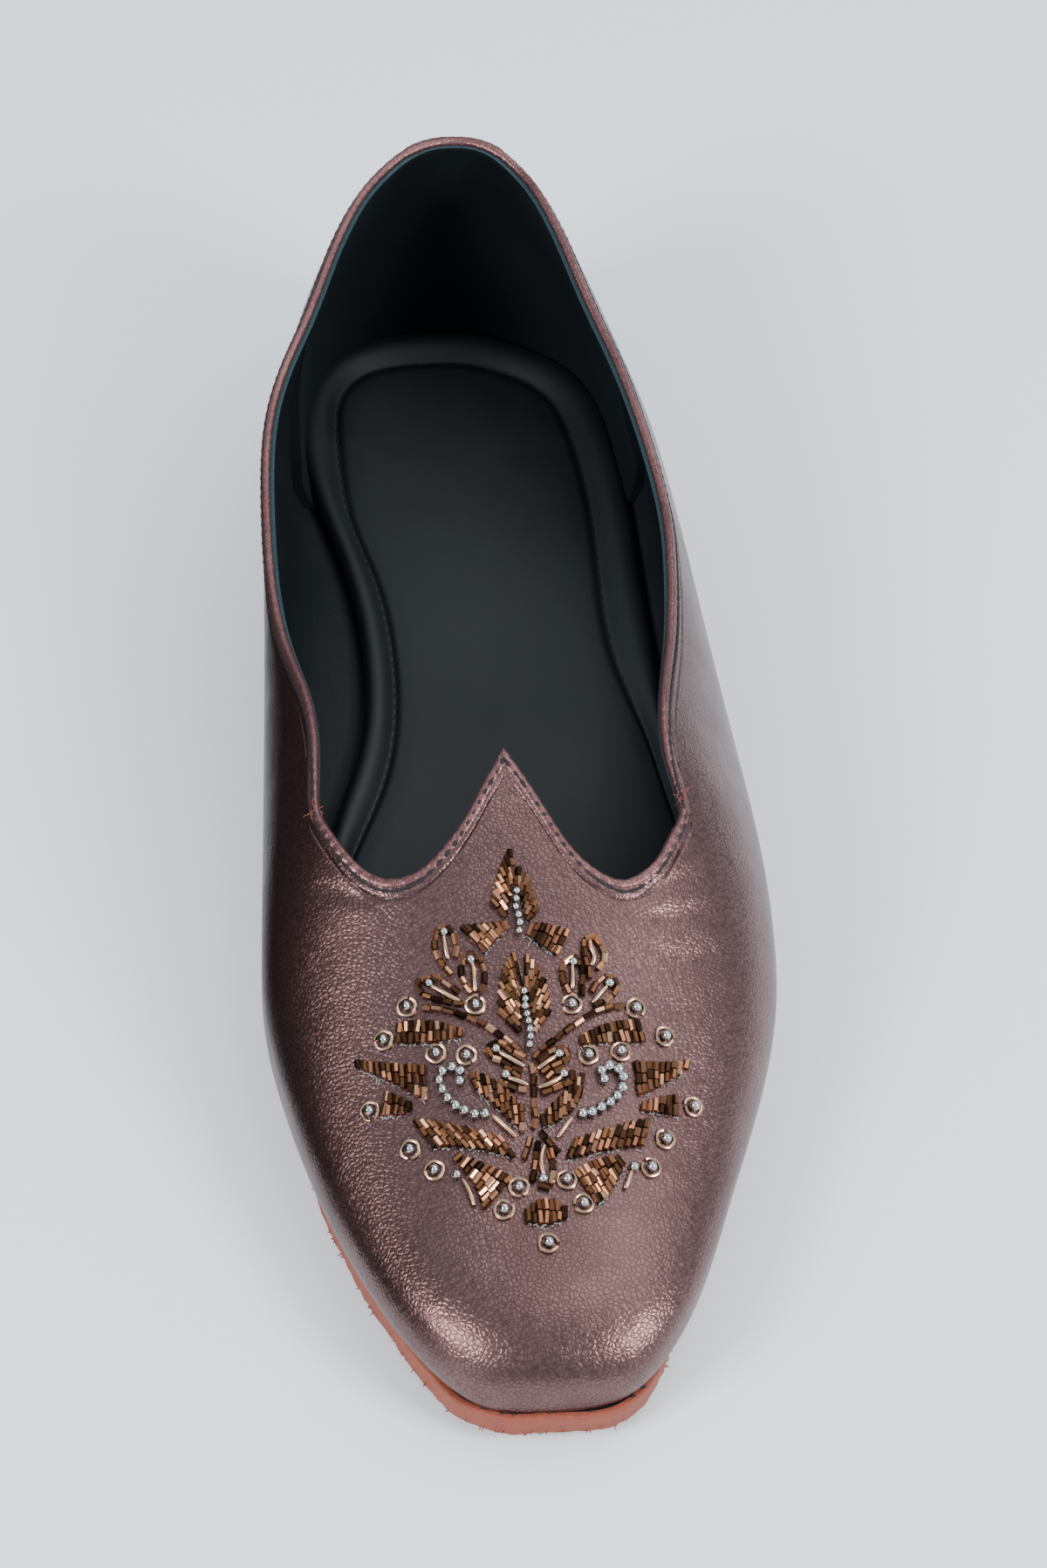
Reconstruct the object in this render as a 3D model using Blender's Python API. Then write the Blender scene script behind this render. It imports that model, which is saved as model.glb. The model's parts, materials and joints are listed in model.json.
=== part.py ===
"""A beaded slip-on shoe with a pointed throat, for the left foot, empty and standing on its sole.

The frame: toe towards -Y, heel towards +Y, the inner side of the foot at -X, Z up, floor at Z = 0.
Every form follows one last: a row for each section from heel to toe, joined by natural cubic curves.
"""

import bmesh
import bpy
import numpy as np

# Driving dimensions, in metres
LENGTH = 0.2513
BALL_WIDTH = 0.0876
INSTEP_RISE = 0.050
COLLAR_RISE = 0.057
SOLE_THICKNESS = 0.0047
HEEL_LIFT = 0.006
TOE_SPRING = 0.003
UPPER_WALL = 0.0022
EDGE_RADIUS = 0.0012
EDGE_SEAT = 0.00075
INSOLE_THICKNESS = 0.0030
INSOLE_PUFF = 0.0020
INSOLE_BORDER = 0.0078
INSOLE_TOE_ROOM = 0.0045
TAB_WIDTH = 0.019
TAB_THICKNESS = 0.0008
BEAD_RELIEF = 0.0013
CLEARANCE = 0.0003

# How finely the forms are faceted
STATIONS = 42
WALL_ROWS = 9
TURN_ROWS = 3
SOLE_STATIONS = 46

# Share of the half section that lies below its widest line
BELOW_WIDEST = 0.22
# The heel block ends, and the waist rises from the floor, at these shares of the length
HEEL_BREAST = 0.27
BREAST_RUN = 0.006
WAIST_START = 0.21
WAIST_RUN = 0.42
SPRING_START = 0.78
# The collar's edge meets the throat's at this share, each reaching this share of a last step
CORNER = 0.622
EDGE_REACH = 0.46

# from heel: share of LENGTH
# feather, widest, crown shift: shares of BALL_WIDTH, the inner side first
# widest rise, crown rise: shares of INSTEP_RISE above the sole
LAST_COLUMNS = (
    "from_heel", "feather_in", "feather_out", "widest_in", "widest_out",
    "widest_rise", "crown_rise", "crown_shift", "fullness",
)
LAST_ROWS = (
    (0.000, 0.000, 0.000, 0.000, 0.000, 0.140, 1.440, 0.000, 1.40),
    (0.013, 0.137, 0.143, 0.154, 0.160, 0.140, 1.440, -0.009, 1.40),
    (0.052, 0.268, 0.274, 0.285, 0.290, 0.140, 1.440, -0.027, 1.40),
    (0.115, 0.346, 0.348, 0.369, 0.372, 0.150, 1.440, -0.048, 1.42),
    (0.183, 0.360, 0.365, 0.390, 0.413, 0.180, 1.400, -0.086, 1.60),
    (0.259, 0.312, 0.365, 0.403, 0.438, 0.230, 1.320, -0.131, 2.10),
    (0.358, 0.261, 0.377, 0.421, 0.461, 0.260, 1.240, -0.120, 2.15),
    (0.458, 0.288, 0.420, 0.442, 0.491, 0.252, 1.100, -0.091, 1.80),
    (0.557, 0.371, 0.468, 0.455, 0.521, 0.224, 0.960, -0.057, 1.98),
    (0.637, 0.422, 0.489, 0.466, 0.530, 0.196, 0.824, -0.037, 2.20),
    (0.708, 0.434, 0.477, 0.470, 0.516, 0.172, 0.672, -0.021, 2.20),
    (0.780, 0.400, 0.428, 0.434, 0.463, 0.152, 0.528, -0.007, 2.25),
    (0.852, 0.338, 0.358, 0.372, 0.386, 0.132, 0.408, 0.005, 2.35),
    (0.915, 0.261, 0.292, 0.296, 0.317, 0.112, 0.328, 0.011, 2.45),
    (0.965, 0.180, 0.209, 0.211, 0.239, 0.088, 0.264, 0.014, 2.50),
    (0.992, 0.112, 0.137, 0.132, 0.160, 0.048, 0.172, 0.014, 2.30),
    (1.000, 0.000, 0.000, 0.000, 0.000, 0.000, 0.000, 0.014, 2.00),
)
# Edge of the sole: from heel as a share of LENGTH, half widths as shares of BALL_WIDTH
SOLE_COLUMNS = ("from_heel", "edge_in", "edge_out")
SOLE_ROWS = (
    (0.002, 0.000, 0.000),
    (0.014, 0.136, 0.142),
    (0.053, 0.270, 0.281),
    (0.116, 0.351, 0.356),
    (0.183, 0.363, 0.368),
    (0.259, 0.316, 0.369),
    (0.358, 0.267, 0.381),
    (0.458, 0.293, 0.423),
    (0.557, 0.374, 0.471),
    (0.637, 0.424, 0.491),
    (0.708, 0.436, 0.479),
    (0.780, 0.402, 0.430),
    (0.852, 0.334, 0.352),
    (0.907, 0.271, 0.294),
    (0.939, 0.226, 0.257),
    (0.967, 0.192, 0.225),
    (0.987, 0.159, 0.186),
    (0.999, 0.106, 0.144),
    (1.004, 0.000, 0.000),
)
# Top edge of the upper, heel to peak: from heel as a share of LENGTH, across the half section
# from 0 at the crown line to 1 at the feather line, negative on the inner side
TOPLINE_COLUMNS = ("from_heel", "across")
INNER_TOPLINE = (
    (0.000, -0.391), (0.016, -0.391), (0.037, -0.400), (0.075, -0.409), (0.112, -0.430), (0.150, -0.453),
    (0.180, -0.483), (0.202, -0.506), (0.228, -0.540), (0.254, -0.570), (0.309, -0.603), (0.350, -0.603),
    (0.403, -0.571), (0.467, -0.496), (0.519, -0.421), (0.561, -0.391), (0.596, -0.390), (0.616, -0.380),
    (0.632, -0.348), (0.657, -0.289), (0.674, -0.218), (0.674, -0.157), (0.663, -0.102), (0.643, -0.048),
    (0.616, -0.002), (0.597, 0.028),
)
OUTER_TOPLINE = (
    (0.000, 0.391), (0.013, 0.391), (0.034, 0.400), (0.061, 0.404), (0.099, 0.420), (0.137, 0.442),
    (0.168, 0.468), (0.205, 0.509), (0.230, 0.537), (0.279, 0.588), (0.344, 0.602), (0.399, 0.557),
    (0.438, 0.518), (0.467, 0.485), (0.514, 0.421), (0.550, 0.378), (0.581, 0.357), (0.607, 0.360),
    (0.625, 0.355), (0.640, 0.325), (0.661, 0.281), (0.674, 0.237), (0.679, 0.205), (0.676, 0.164),
    (0.661, 0.115), (0.641, 0.084), (0.619, 0.057), (0.597, 0.028),
)
# Where each part of the top edge lies over the feather line, both as shares of their own runs
RUN_OF_TOP = (0.0, 0.28, 0.56, 0.72, 0.82, 0.92, 1.0)
RUN_OF_FEATHER = (0.0, 0.27, 0.54, 0.70, 0.82, 0.93, 1.0)

# Beaded leaves on the vamp, as shares of BALL_WIDTH across (inner side negative) and of LENGTH
# from the heel: the tip, the base and the greatest width
LEAF_COLUMNS = ("tip_across", "tip_along", "base_across", "base_along", "width")
LEAVES = {
    "leaf_top": (-0.010, 0.664, -0.001, 0.714, 0.092),
    "wing_inner": (-0.022, 0.711, -0.099, 0.716, 0.048),
    "wing_outer": (0.022, 0.711, 0.089, 0.718, 0.048),
    "leaf_centre": (-0.004, 0.724, 0.005, 0.780, 0.100),
    "petal_1_inner": (-0.153, 0.707, -0.123, 0.741, 0.047),
    "petal_2_inner": (-0.091, 0.727, -0.086, 0.754, 0.052),
    "petal_3_inner": (-0.190, 0.740, -0.112, 0.760, 0.041),
    "petal_1_outer": (0.136, 0.714, 0.134, 0.741, 0.047),
    "petal_2_outer": (0.092, 0.729, 0.086, 0.755, 0.048),
    "petal_3_outer": (0.182, 0.743, 0.125, 0.763, 0.040),
    "side_1_inner": (-0.107, 0.777, -0.233, 0.770, 0.054),
    "side_1_outer": (0.098, 0.781, 0.237, 0.772, 0.051),
    "side_2_inner": (-0.309, 0.782, -0.174, 0.803, 0.066),
    "side_2_outer": (0.309, 0.790, 0.193, 0.804, 0.066),
    "side_3_inner": (-0.267, 0.812, -0.206, 0.822, 0.043),
    "side_3_outer": (0.288, 0.817, 0.203, 0.824, 0.046),
    "lower_1_inner": (-0.213, 0.828, -0.025, 0.854, 0.044),
    "lower_1_outer": (0.229, 0.834, 0.062, 0.856, 0.043),
    "lower_2_inner": (-0.143, 0.854, -0.061, 0.881, 0.058),
    "lower_2_outer": (0.170, 0.859, 0.090, 0.880, 0.056),
    "bud_1_inner": (-0.072, 0.787, -0.006, 0.797, 0.050),
    "bud_1_outer": (0.087, 0.788, 0.025, 0.799, 0.048),
    "bud_2_inner": (-0.094, 0.804, -0.012, 0.834, 0.052),
    "bud_2_outer": (0.108, 0.806, 0.022, 0.834, 0.050),
    "spear": (0.023, 0.846, 0.020, 0.879, 0.049),
    "fan": (-0.024, 0.894, 0.065, 0.893, 0.050),
}

COLOURS = {
    "leather": (0.145, 0.070, 0.066, 1.0),
    "edge": (0.270, 0.135, 0.125, 1.0),
    "lining": (0.012, 0.013, 0.015, 1.0),
    "sole": (0.430, 0.125, 0.052, 1.0),
    "beads": (0.190, 0.085, 0.035, 1.0),
}


def cubic(knots, values, at):
    """Natural cubic curve through the values at the knots, read at the positions given."""
    gap = np.diff(knots)
    count = len(knots)
    matrix = np.zeros((count, count))
    matrix[0, 0] = matrix[-1, -1] = 1
    right = np.zeros_like(values)
    for i in range(1, count - 1):
        matrix[i, i - 1 : i + 2] = gap[i - 1], 2 * (gap[i - 1] + gap[i]), gap[i]
        right[i] = 6 * ((values[i + 1] - values[i]) / gap[i] - (values[i] - values[i - 1]) / gap[i - 1])
    bend = np.linalg.solve(matrix, right)
    at = np.asarray(at, float)
    k = np.clip(np.searchsorted(knots, at) - 1, 0, count - 2)
    step = (at - knots[k])[..., None]
    width = gap[k][..., None]
    first, second = values[k], values[k + 1]
    slope = (second - first) / width - width * (2 * bend[k] + bend[k + 1]) / 6
    return first + step * slope + step**2 * bend[k] / 2 + step**3 * (bend[k + 1] - bend[k]) / (6 * width)


def eased(share):
    share = np.clip(share, 0, 1)
    return share**3 * (share * (6 * share - 15) + 10)


def sole_base(along):
    """Height of the sheet's underside: the waist falls from the heel seat, and the toe springs up."""
    share = along / LENGTH
    lift = HEEL_LIFT * (1 - eased((share - WAIST_START) / WAIST_RUN))
    spring = np.clip((share - SPRING_START) / (1 - SPRING_START), 0, None)
    return lift + TOE_SPRING * spring**2


def sole_top(along):
    return sole_base(along) + SOLE_THICKNESS


class Rows:
    """Sections from heel to toe as curves of a run that starts at the heel. Mirrored rows past
    both ends keep the ends round: past the heel what lies across changes sign, and past the
    tip what lies across and above does."""

    def __init__(self, rows, scales, halves, at_heel, at_toe):
        rows = np.array(rows) * np.array(scales)
        spread = rows[:, halves].mean(axis=1)
        top = rows[:, at_toe[-1]] * np.linspace(0, 1, len(rows)) ** 3
        self.steps = np.stack([rows[:, 0], spread, top])
        run = np.concatenate([[0], np.cumsum(np.linalg.norm(np.diff(self.steps), axis=0))])
        before = rows[1:4][::-1].copy()
        before[:, at_heel] *= -1
        after = rows[-4:-1][::-1].copy()
        after[:, at_toe] *= -1
        self.end = run[-1]
        self.knots = np.concatenate([-run[1:4][::-1], run, 2 * run[-1] - run[-4:-1][::-1]])
        self.rows = np.vstack([before, rows, after])

    def at(self, run):
        return cubic(self.knots, self.rows, run)

    def run_at(self, along):
        """The run whose section lies this far from the heel, found by halving."""
        low = np.zeros_like(along)
        high = np.full_like(along, self.end)
        for _ in range(45):
            middle = (low + high) / 2
            short = self.at(middle)[..., 0] < along
            low = np.where(short, middle, low)
            high = np.where(short, high, middle)
        return (low + high) / 2


LAST = Rows(
    LAST_ROWS,
    (LENGTH,) + (BALL_WIDTH,) * 4 + (INSTEP_RISE,) * 2 + (BALL_WIDTH, 1),
    halves=[3, 4], at_heel=[1, 2, 3, 4, 7], at_toe=[1, 2, 3, 4, 5, 6],
)
SOLE = Rows(SOLE_ROWS, (LENGTH, BALL_WIDTH, BALL_WIDTH), halves=[1, 2], at_heel=[1, 2], at_toe=[1, 2])


def heel_back(height, along):
    """How far the back of the heel leans in above and below its roundest height."""
    round_at = sole_top(0.0) + 0.27 * INSTEP_RISE
    near = np.clip(1 - along / (0.25 * LENGTH), 0, 1) ** 2
    above = 0.0024 * np.clip((height - round_at) / 0.033, 0, None) ** 2
    below = 0.0016 * np.clip((round_at - height) / 0.0135, 0, None) ** 2
    return (above + below) * near


def last_point(run, across):
    """The last's surface. Below the widest line the half section is a quarter of an ellipse that
    turns in to the feather line, and above it a quarter of a superellipse that closes at the
    crown, moved across by the crown shift."""
    run, across = np.broadcast_arrays(np.asarray(run, float), np.asarray(across, float))
    row = LAST.at(run)
    inner = across < 0
    feather = np.where(inner, row[..., 1], row[..., 2])
    widest = np.where(inner, row[..., 3], row[..., 4])
    side = np.where(inner, -1.0, 1.0)
    up = 1 - np.abs(across)
    turn = np.clip(up / BELOW_WIDEST, 0, 1) * np.pi / 2
    arch = np.clip((up - BELOW_WIDEST) / (1 - BELOW_WIDEST), 0, 1) * np.pi / 2
    out = np.cos(arch) ** (2 / row[..., 8])
    rise = np.sin(arch) ** (2 / row[..., 8])
    below = up < BELOW_WIDEST
    turned = side * (feather + (widest - feather) * np.sin(turn))
    x = np.where(below, turned, side * widest * out + row[..., 7] * rise)
    z = np.where(below, row[..., 5] * (1 - np.cos(turn)), row[..., 5] + (row[..., 6] - row[..., 5]) * rise)
    z = z + sole_top(row[..., 0])
    return np.stack([x, -row[..., 0] - heel_back(z, row[..., 0]), z], axis=-1)


def across_at(run, x):
    """Where the section above its widest line passes over x, found by halving."""
    low = np.full_like(run, BELOW_WIDEST - 1)
    high = np.full_like(run, 1 - BELOW_WIDEST)
    for _ in range(45):
        middle = (low + high) / 2
        short = last_point(run, middle)[..., 0] < x
        low = np.where(short, middle, low)
        high = np.where(short, high, middle)
    return (low + high) / 2


def spaced(points, shares):
    """Places along a curve of points at shares of its length, as fractional indices."""
    run = np.concatenate([[0], np.cumsum(np.linalg.norm(np.diff(points, axis=0), axis=1))])
    return np.interp(shares * run[-1], run, np.arange(len(points)))


def top_edge(rows, shares):
    """(run, across) along one side's top edge, heel to peak, at shares of its length."""
    rows = np.array(rows)
    rows = np.stack([LAST.run_at(rows[:, 0] * LENGTH), rows[:, 1]], axis=1)
    knots = np.concatenate([[0], np.cumsum(np.linalg.norm(np.diff(last_point(*rows.T), axis=0), axis=1))])
    fine = cubic(knots, rows, np.linspace(0, knots[-1], 400))
    at = spaced(last_point(*fine.T), shares)
    return np.stack([np.interp(at, np.arange(400), fine[:, i]) for i in (0, 1)], axis=1)


def half_skin(rows, side, shares, levels, turns):
    """(run, across) from the top edge to the feather line, a line of points for each share. On
    the walls the lines follow the sections, and on the vamp they spread like a fan seen from above."""
    top = top_edge(rows, shares)
    feather = LAST.at(np.linspace(0, LAST.end, 400))[:, [0, 3 if side < 0 else 4]]
    at = spaced(feather, np.interp(shares, RUN_OF_TOP, RUN_OF_FEATHER))
    foot = at / 399 * LAST.end
    edge = side * (1 - BELOW_WIDEST)
    share = levels[None, :, None]
    wall = (1 - share) * top[:, None, :] + share * np.stack([foot, np.full_like(foot, edge)], 1)[:, None, :]
    start = last_point(*top.T)[:, :2]
    end = last_point(foot, edge)[:, :2]
    plan = start[:, None] + (end - start)[:, None] * (1 - (1 - share) ** 1.5)
    run = LAST.run_at(-plan[..., 1])
    fan = np.stack([run, across_at(run, plan[..., 0])], axis=-1)
    fan[:, 0] = top
    fan[:, -1] = wall[:, -1]
    on_vamp = eased((foot / LAST.end - 0.50) / 0.18)[:, None, None]
    skin = (1 - on_vamp) * wall + on_vamp * fan
    low = np.stack(np.broadcast_arrays(foot[:, None], side * (1 - BELOW_WIDEST * (1 - turns[None, 1:]))), -1)
    return np.concatenate([skin, low], axis=1)


def skin_grid(stations, levels, turns):
    """Points and outward normals of the whole upper as a closed fan of lines from the top edge to
    the feather line, heel first, round the inner side, the toe and the outer side."""
    shares = np.linspace(0, 1, stations + 1)
    inner = half_skin(INNER_TOPLINE, -1, shares, levels, turns)
    outer = half_skin(OUTER_TOPLINE, 1, shares[1:-1], levels, turns)[::-1]
    grid = np.concatenate([inner, outer])
    points = last_point(grid[..., 0], grid[..., 1])
    return points, grid_normals(points)


def grid_normals(points, closed=True):
    """Unit normals of a grid of points, facing away from the middle of the shoe."""
    if closed:
        along = np.roll(points, -1, axis=0) - np.roll(points, 1, axis=0)
    else:
        along = np.gradient(points, axis=0)
    normals = np.cross(np.gradient(points, axis=1), along)
    normals /= np.linalg.norm(normals, axis=-1, keepdims=True)
    outward = (normals * (points - (0, -LENGTH / 2, 0))).sum(axis=-1).mean()
    return normals * np.sign(outward)


def grid_faces(first, second, closed):
    """Quads of a grid of vertex numbers, and of its edges, joining two layers into a closed skin."""
    if closed:
        first = np.concatenate([first, first[:1]])
        second = np.concatenate([second, second[:1]])

    def quads(a):
        return np.stack([a[:-1, :-1], a[1:, :-1], a[1:, 1:], a[:-1, 1:]], axis=-1).reshape(-1, 4)

    def rim(a, b):
        return np.stack([a[:-1], b[:-1], b[1:], a[1:]], axis=-1)

    faces = [quads(first), quads(second)[:, ::-1], rim(first[:, 0], second[:, 0]), rim(second[:, -1], first[:, -1])]
    if not closed:
        faces += [rim(second[0], first[0]), rim(first[-1], second[-1])]
    return np.concatenate(faces)


def make_object(name, vertices, faces, material, collection):
    mesh = bpy.data.meshes.new(name)
    mesh.from_pydata(np.asarray(vertices).tolist(), [], [list(face) for face in faces])
    mesh.update()
    work = bmesh.new()
    work.from_mesh(mesh)
    bmesh.ops.remove_doubles(work, verts=work.verts, dist=1e-6)
    bmesh.ops.dissolve_degenerate(work, edges=work.edges, dist=1e-7)
    bmesh.ops.triangulate(work, faces=work.faces)
    bmesh.ops.recalc_face_normals(work, faces=work.faces)
    work.to_mesh(mesh)
    work.free()
    mesh.shade_smooth()
    mesh.set_sharp_from_angle(angle=np.radians(40))
    mesh.materials.append(material)
    made = bpy.data.objects.new(name, mesh)
    collection.objects.link(made)
    return made


def slab(name, points, normals, low, high, material, collection, closed=False, inward=None):
    """A closed sheet between two offsets of a grid of points along its normals."""
    count = points.shape[0] * points.shape[1]
    number = np.arange(count).reshape(points.shape[:2])
    inward = normals if inward is None else inward
    vertices = np.concatenate([(points + normals * high).reshape(-1, 3), (points + inward * low).reshape(-1, 3)])
    return make_object(name, vertices, grid_faces(number, number + count, closed), material, collection)


def sole_edge(stations):
    """Plan outline of the sole, heel first and round the inner side."""
    row = SOLE.at(np.linspace(0, SOLE.end, stations + 1))
    inner = np.stack([-row[:, 1], -row[:, 0]], axis=1)
    outer = np.stack([row[:, 2], -row[:, 0]], axis=1)[1:-1][::-1]
    return np.concatenate([inner, outer])


def feather_edge(stations):
    """Plan outline of the last's feather line, in the same order."""
    run = np.linspace(0, LAST.end, stations + 1)
    return np.concatenate([last_point(run, -1)[:, :2], last_point(run, 1)[1:-1, :2][::-1]])


def moved_in(loop, inset, toe_inset=0.0):
    """A plan outline moved inwards, and a little more round the toe."""
    ahead = np.roll(loop, -1, axis=0) - np.roll(loop, 1, axis=0)
    inwards = np.stack([-ahead[:, 1], ahead[:, 0]], axis=1) / np.linalg.norm(ahead, axis=1)[:, None]
    return loop + inwards * (inset + toe_inset * eased((-loop[:, 1:] / LENGTH - 0.80) / 0.17))


def pad(name, rings, fillings, material, collection):
    """A closed form from rings of equal count, first the top's innermost and last the bottom's.
    Each end is filled by lines from the inner to the outer side, raised by its own function."""
    rings = [np.asarray(ring) for ring in rings]
    count = len(rings[0])
    half = count // 2
    vertices = [tuple(point) for ring in rings for point in ring]
    faces = []
    for level in range(len(rings) - 1):
        for k in range(count):
            nxt = (k + 1) % count
            faces.append((level * count + k, (level + 1) * count + k, (level + 1) * count + nxt, level * count + nxt))
    for base, height in ((0, fillings[0]), ((len(rings) - 1) * count, fillings[1])):
        ring = rings[base // count]
        shares = np.array([0.25, 0.5, 0.75])
        lines = []
        for k in range(1, half):
            a, b = ring[k], ring[count - k]
            between = a + (b - a) * shares[:, None]
            between[:, 2] = height(-between[:, 1])
            start = len(vertices)
            vertices += [tuple(point) for point in between]
            lines.append([base + k, start, start + 1, start + 2, base + count - k])
        for a, b in zip(lines[:-1], lines[1:]):
            faces += [(a[i], a[i + 1], b[i + 1], b[i]) for i in range(4)]
        for tip, line in ((base, lines[0]), (base + half, lines[-1])):
            faces += [(tip, line[i], line[i + 1]) for i in range(4)]
    return make_object(name, vertices, faces, material, collection)


def on_level(loop, height):
    """A plan outline raised to a height, a number or a function of the distance from the heel."""
    z = height(-loop[:, 1]) if callable(height) else np.full(len(loop), height)
    return np.column_stack([loop, z])


def tread(along):
    """Underside of the sole: the heel block stands on the floor up to its breast."""
    end = (along - HEEL_BREAST * LENGTH) / BREAST_RUN
    return sole_base(along) * np.clip(end, 0, 1)


def build_outsole(material, collection):
    """One sheet with a low heel block, its edges a little rounded."""
    edge = sole_edge(SOLE_STATIONS)
    rings = [
        on_level(moved_in(edge, 0.0040), sole_top),
        on_level(moved_in(edge, 0.0005), sole_top),
        on_level(edge, lambda v: sole_top(v) - 0.0005),
        on_level(edge, lambda v: tread(v) + 0.0006),
        on_level(moved_in(edge, 0.0006), tread),
        on_level(moved_in(edge, 0.0040), tread),
    ]
    return pad("outsole", rings, (sole_top, tread), material, collection)


def build_insole(material, collection):
    """A padded sheet with a puffed border and a stitched groove round its flat middle."""
    floor = CLEARANCE
    wall = UPPER_WALL + 2 * CLEARANCE
    profile = (
        (INSOLE_BORDER + 0.0020, INSOLE_THICKNESS),
        (INSOLE_BORDER, INSOLE_THICKNESS * 0.72),
        (INSOLE_BORDER * 0.78, INSOLE_THICKNESS + INSOLE_PUFF * 0.70),
        (INSOLE_BORDER * 0.45, INSOLE_THICKNESS + INSOLE_PUFF),
        (INSOLE_BORDER * 0.14, INSOLE_THICKNESS + INSOLE_PUFF * 0.45),
        (0.0, INSOLE_THICKNESS * 0.6),
        (0.0, floor),
        (INSOLE_BORDER, floor),
    )

    def height(rise):
        """The pad thins towards the toe, where the vamp comes down over it."""
        return lambda v: sole_top(v) + floor + (rise - floor) * (1 - 0.6 * eased((v / LENGTH - 0.72) / 0.2))

    edge = feather_edge(SOLE_STATIONS)
    rings = [on_level(moved_in(edge, wall + inset, INSOLE_TOE_ROOM), height(rise)) for inset, rise in profile]
    middle = (height(INSOLE_THICKNESS), height(floor))
    return pad("insole", rings, middle, material, collection)


def slant(points):
    """For each line of the skin, how much longer a way down the line is than the same way
    straight from the top edge. The lines meet the edge at a slant round the peak."""
    top = points[:, 0]
    down = points[:, 1] - top
    down /= np.linalg.norm(down, axis=1)[:, None]
    stretch = np.ones(len(points))
    for turn in (-1, 1):
        edge = np.roll(top, turn, axis=0) - top
        edge /= np.linalg.norm(edge, axis=1)[:, None]
        sine = np.linalg.norm(np.cross(down, edge), axis=1)
        stretch = np.maximum(stretch, 1 / np.clip(sine, 0.35, 1))
    return stretch


def set_back(points, distance):
    """Moves the start of each line of a grid down the line, so that a gap opens at the top edge."""
    moved = points.copy()
    for k, (line, stretch) in enumerate(zip(points, slant(points))):
        run = np.concatenate([[0], np.cumsum(np.linalg.norm(np.diff(line, axis=0), axis=1))])
        shift = distance * stretch
        fresh = run + shift * np.clip(1 - run / (0.6 * run[-1]), 0, None)
        moved[k] = np.stack([np.interp(fresh, run, line[:, i]) for i in range(3)], axis=1)
    return moved


def build_upper(points, normals, material, collection):
    """One hollow wall, open at the foot's opening and underneath, where its edge stands flat."""
    points = set_back(points, 2 * EDGE_RADIUS + EDGE_SEAT)
    flat = normals.copy()
    flat[..., 2] = 0
    foot = np.roll(points[:, -1, :2], -1, axis=0) - np.roll(points[:, -1, :2], 1, axis=0)
    flat[..., 0] = -foot[:, None, 1]
    flat[..., 1] = foot[:, None, 0]
    flat /= np.linalg.norm(flat, axis=-1, keepdims=True)
    flat *= np.sign((flat * normals).sum(axis=-1, keepdims=True).mean(axis=1, keepdims=True))
    height = points[..., 2] - sole_top(-points[..., 1])
    rounded = eased(height / (0.12 * INSTEP_RISE))[..., None]
    inward = flat * (1 - rounded) + normals * rounded
    inward /= np.linalg.norm(inward, axis=-1, keepdims=True)
    lifted = points.copy()
    lifted[..., 2] += CLEARANCE
    return slab("upper", lifted, normals, -UPPER_WALL, 0.0, material, collection, closed=True, inward=inward)


def edge_tube(name, route, radius, material, collection):
    """A folded edge as a tube along its route."""
    curve = bpy.data.curves.new(name, "CURVE")
    curve.dimensions = "3D"
    curve.bevel_depth = radius
    curve.bevel_resolution = 2
    curve.use_fill_caps = True
    spline = curve.splines.new("POLY")
    spline.points.add(len(route) - 1)
    spline.points.foreach_set("co", np.column_stack([route, np.ones(len(route))]).ravel())
    curve.materials.append(material)
    made = bpy.data.objects.new(name, curve)
    collection.objects.link(made)
    return made


def edge_route(points, normals, first, last):
    """Middle of the folded edge, just over the wall's own top edge, from one line of the skin to
    another and a little less than half of the way on to the next."""
    lines = np.arange(first - 1, last + 2) % len(points)
    rise = points[:, 0] - points[:, 1]
    rise /= np.linalg.norm(rise, axis=1)[:, None]
    route = points[:, 0] - rise * EDGE_RADIUS * slant(points)[:, None] - normals[:, 0] * UPPER_WALL / 2
    route = route[lines]
    route[:, 2] += CLEARANCE
    route[0] = route[1] + (route[0] - route[1]) * EDGE_REACH
    route[-1] = route[-2] + (route[-1] - route[-2]) * EDGE_REACH
    return route


def build_edges(points, normals, material, collection):
    """The folded edge round the collar, and that of the throat, which meet at the two corners."""
    count = len(points)
    past = -points[:, 0, 1] > CORNER * LENGTH
    inner = int(np.argmax(past))
    outer = count - int(np.argmax(past[::-1]))
    collar = edge_route(points, normals, outer - count, inner - 1)
    throat = edge_route(points, normals, inner, outer - 1)
    return [
        edge_tube("collar_edge", collar, EDGE_RADIUS, material, collection),
        edge_tube("throat_edge", throat, EDGE_RADIUS, material, collection),
    ]


def build_tab(material, collection):
    """The strip down the back of the heel, just outside the wall."""
    height = np.linspace(0.30, 0.90, 9) * COLLAR_RISE
    reach = np.linspace(-1, 1, 9) * TAB_WIDTH / 2
    run = LAST.run_at(np.array([0.0, 0.02 * LENGTH, 0.05 * LENGTH]))
    fine = np.linspace(0, run[-1], 200)
    grid = np.empty((9, 9, 3))
    for j, z in enumerate(height):
        for side in (-1, 1):
            row = LAST.at(fine)
            share = np.clip((z - sole_top(row[:, 0]) - row[:, 5]) / (row[:, 6] - row[:, 5]), 0, 1)
            arch = np.arcsin(share ** (row[:, 8] / 2)) / (np.pi / 2)
            line = last_point(fine, side * (1 - BELOW_WIDEST - (1 - BELOW_WIDEST) * arch))
            length = np.concatenate([[0], np.cumsum(np.linalg.norm(np.diff(line, axis=0), axis=1))])
            for i, at in enumerate(reach):
                if at * side >= 0:
                    grid[i, j] = [np.interp(abs(at), length, line[:, a]) for a in range(3)]
    grid = grid[:, ::-1]
    grid[..., 2] += CLEARANCE
    normals = grid_normals(grid, closed=False)
    return slab("heel_tab", grid, normals, CLEARANCE, CLEARANCE + TAB_THICKNESS, material, collection)


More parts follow.
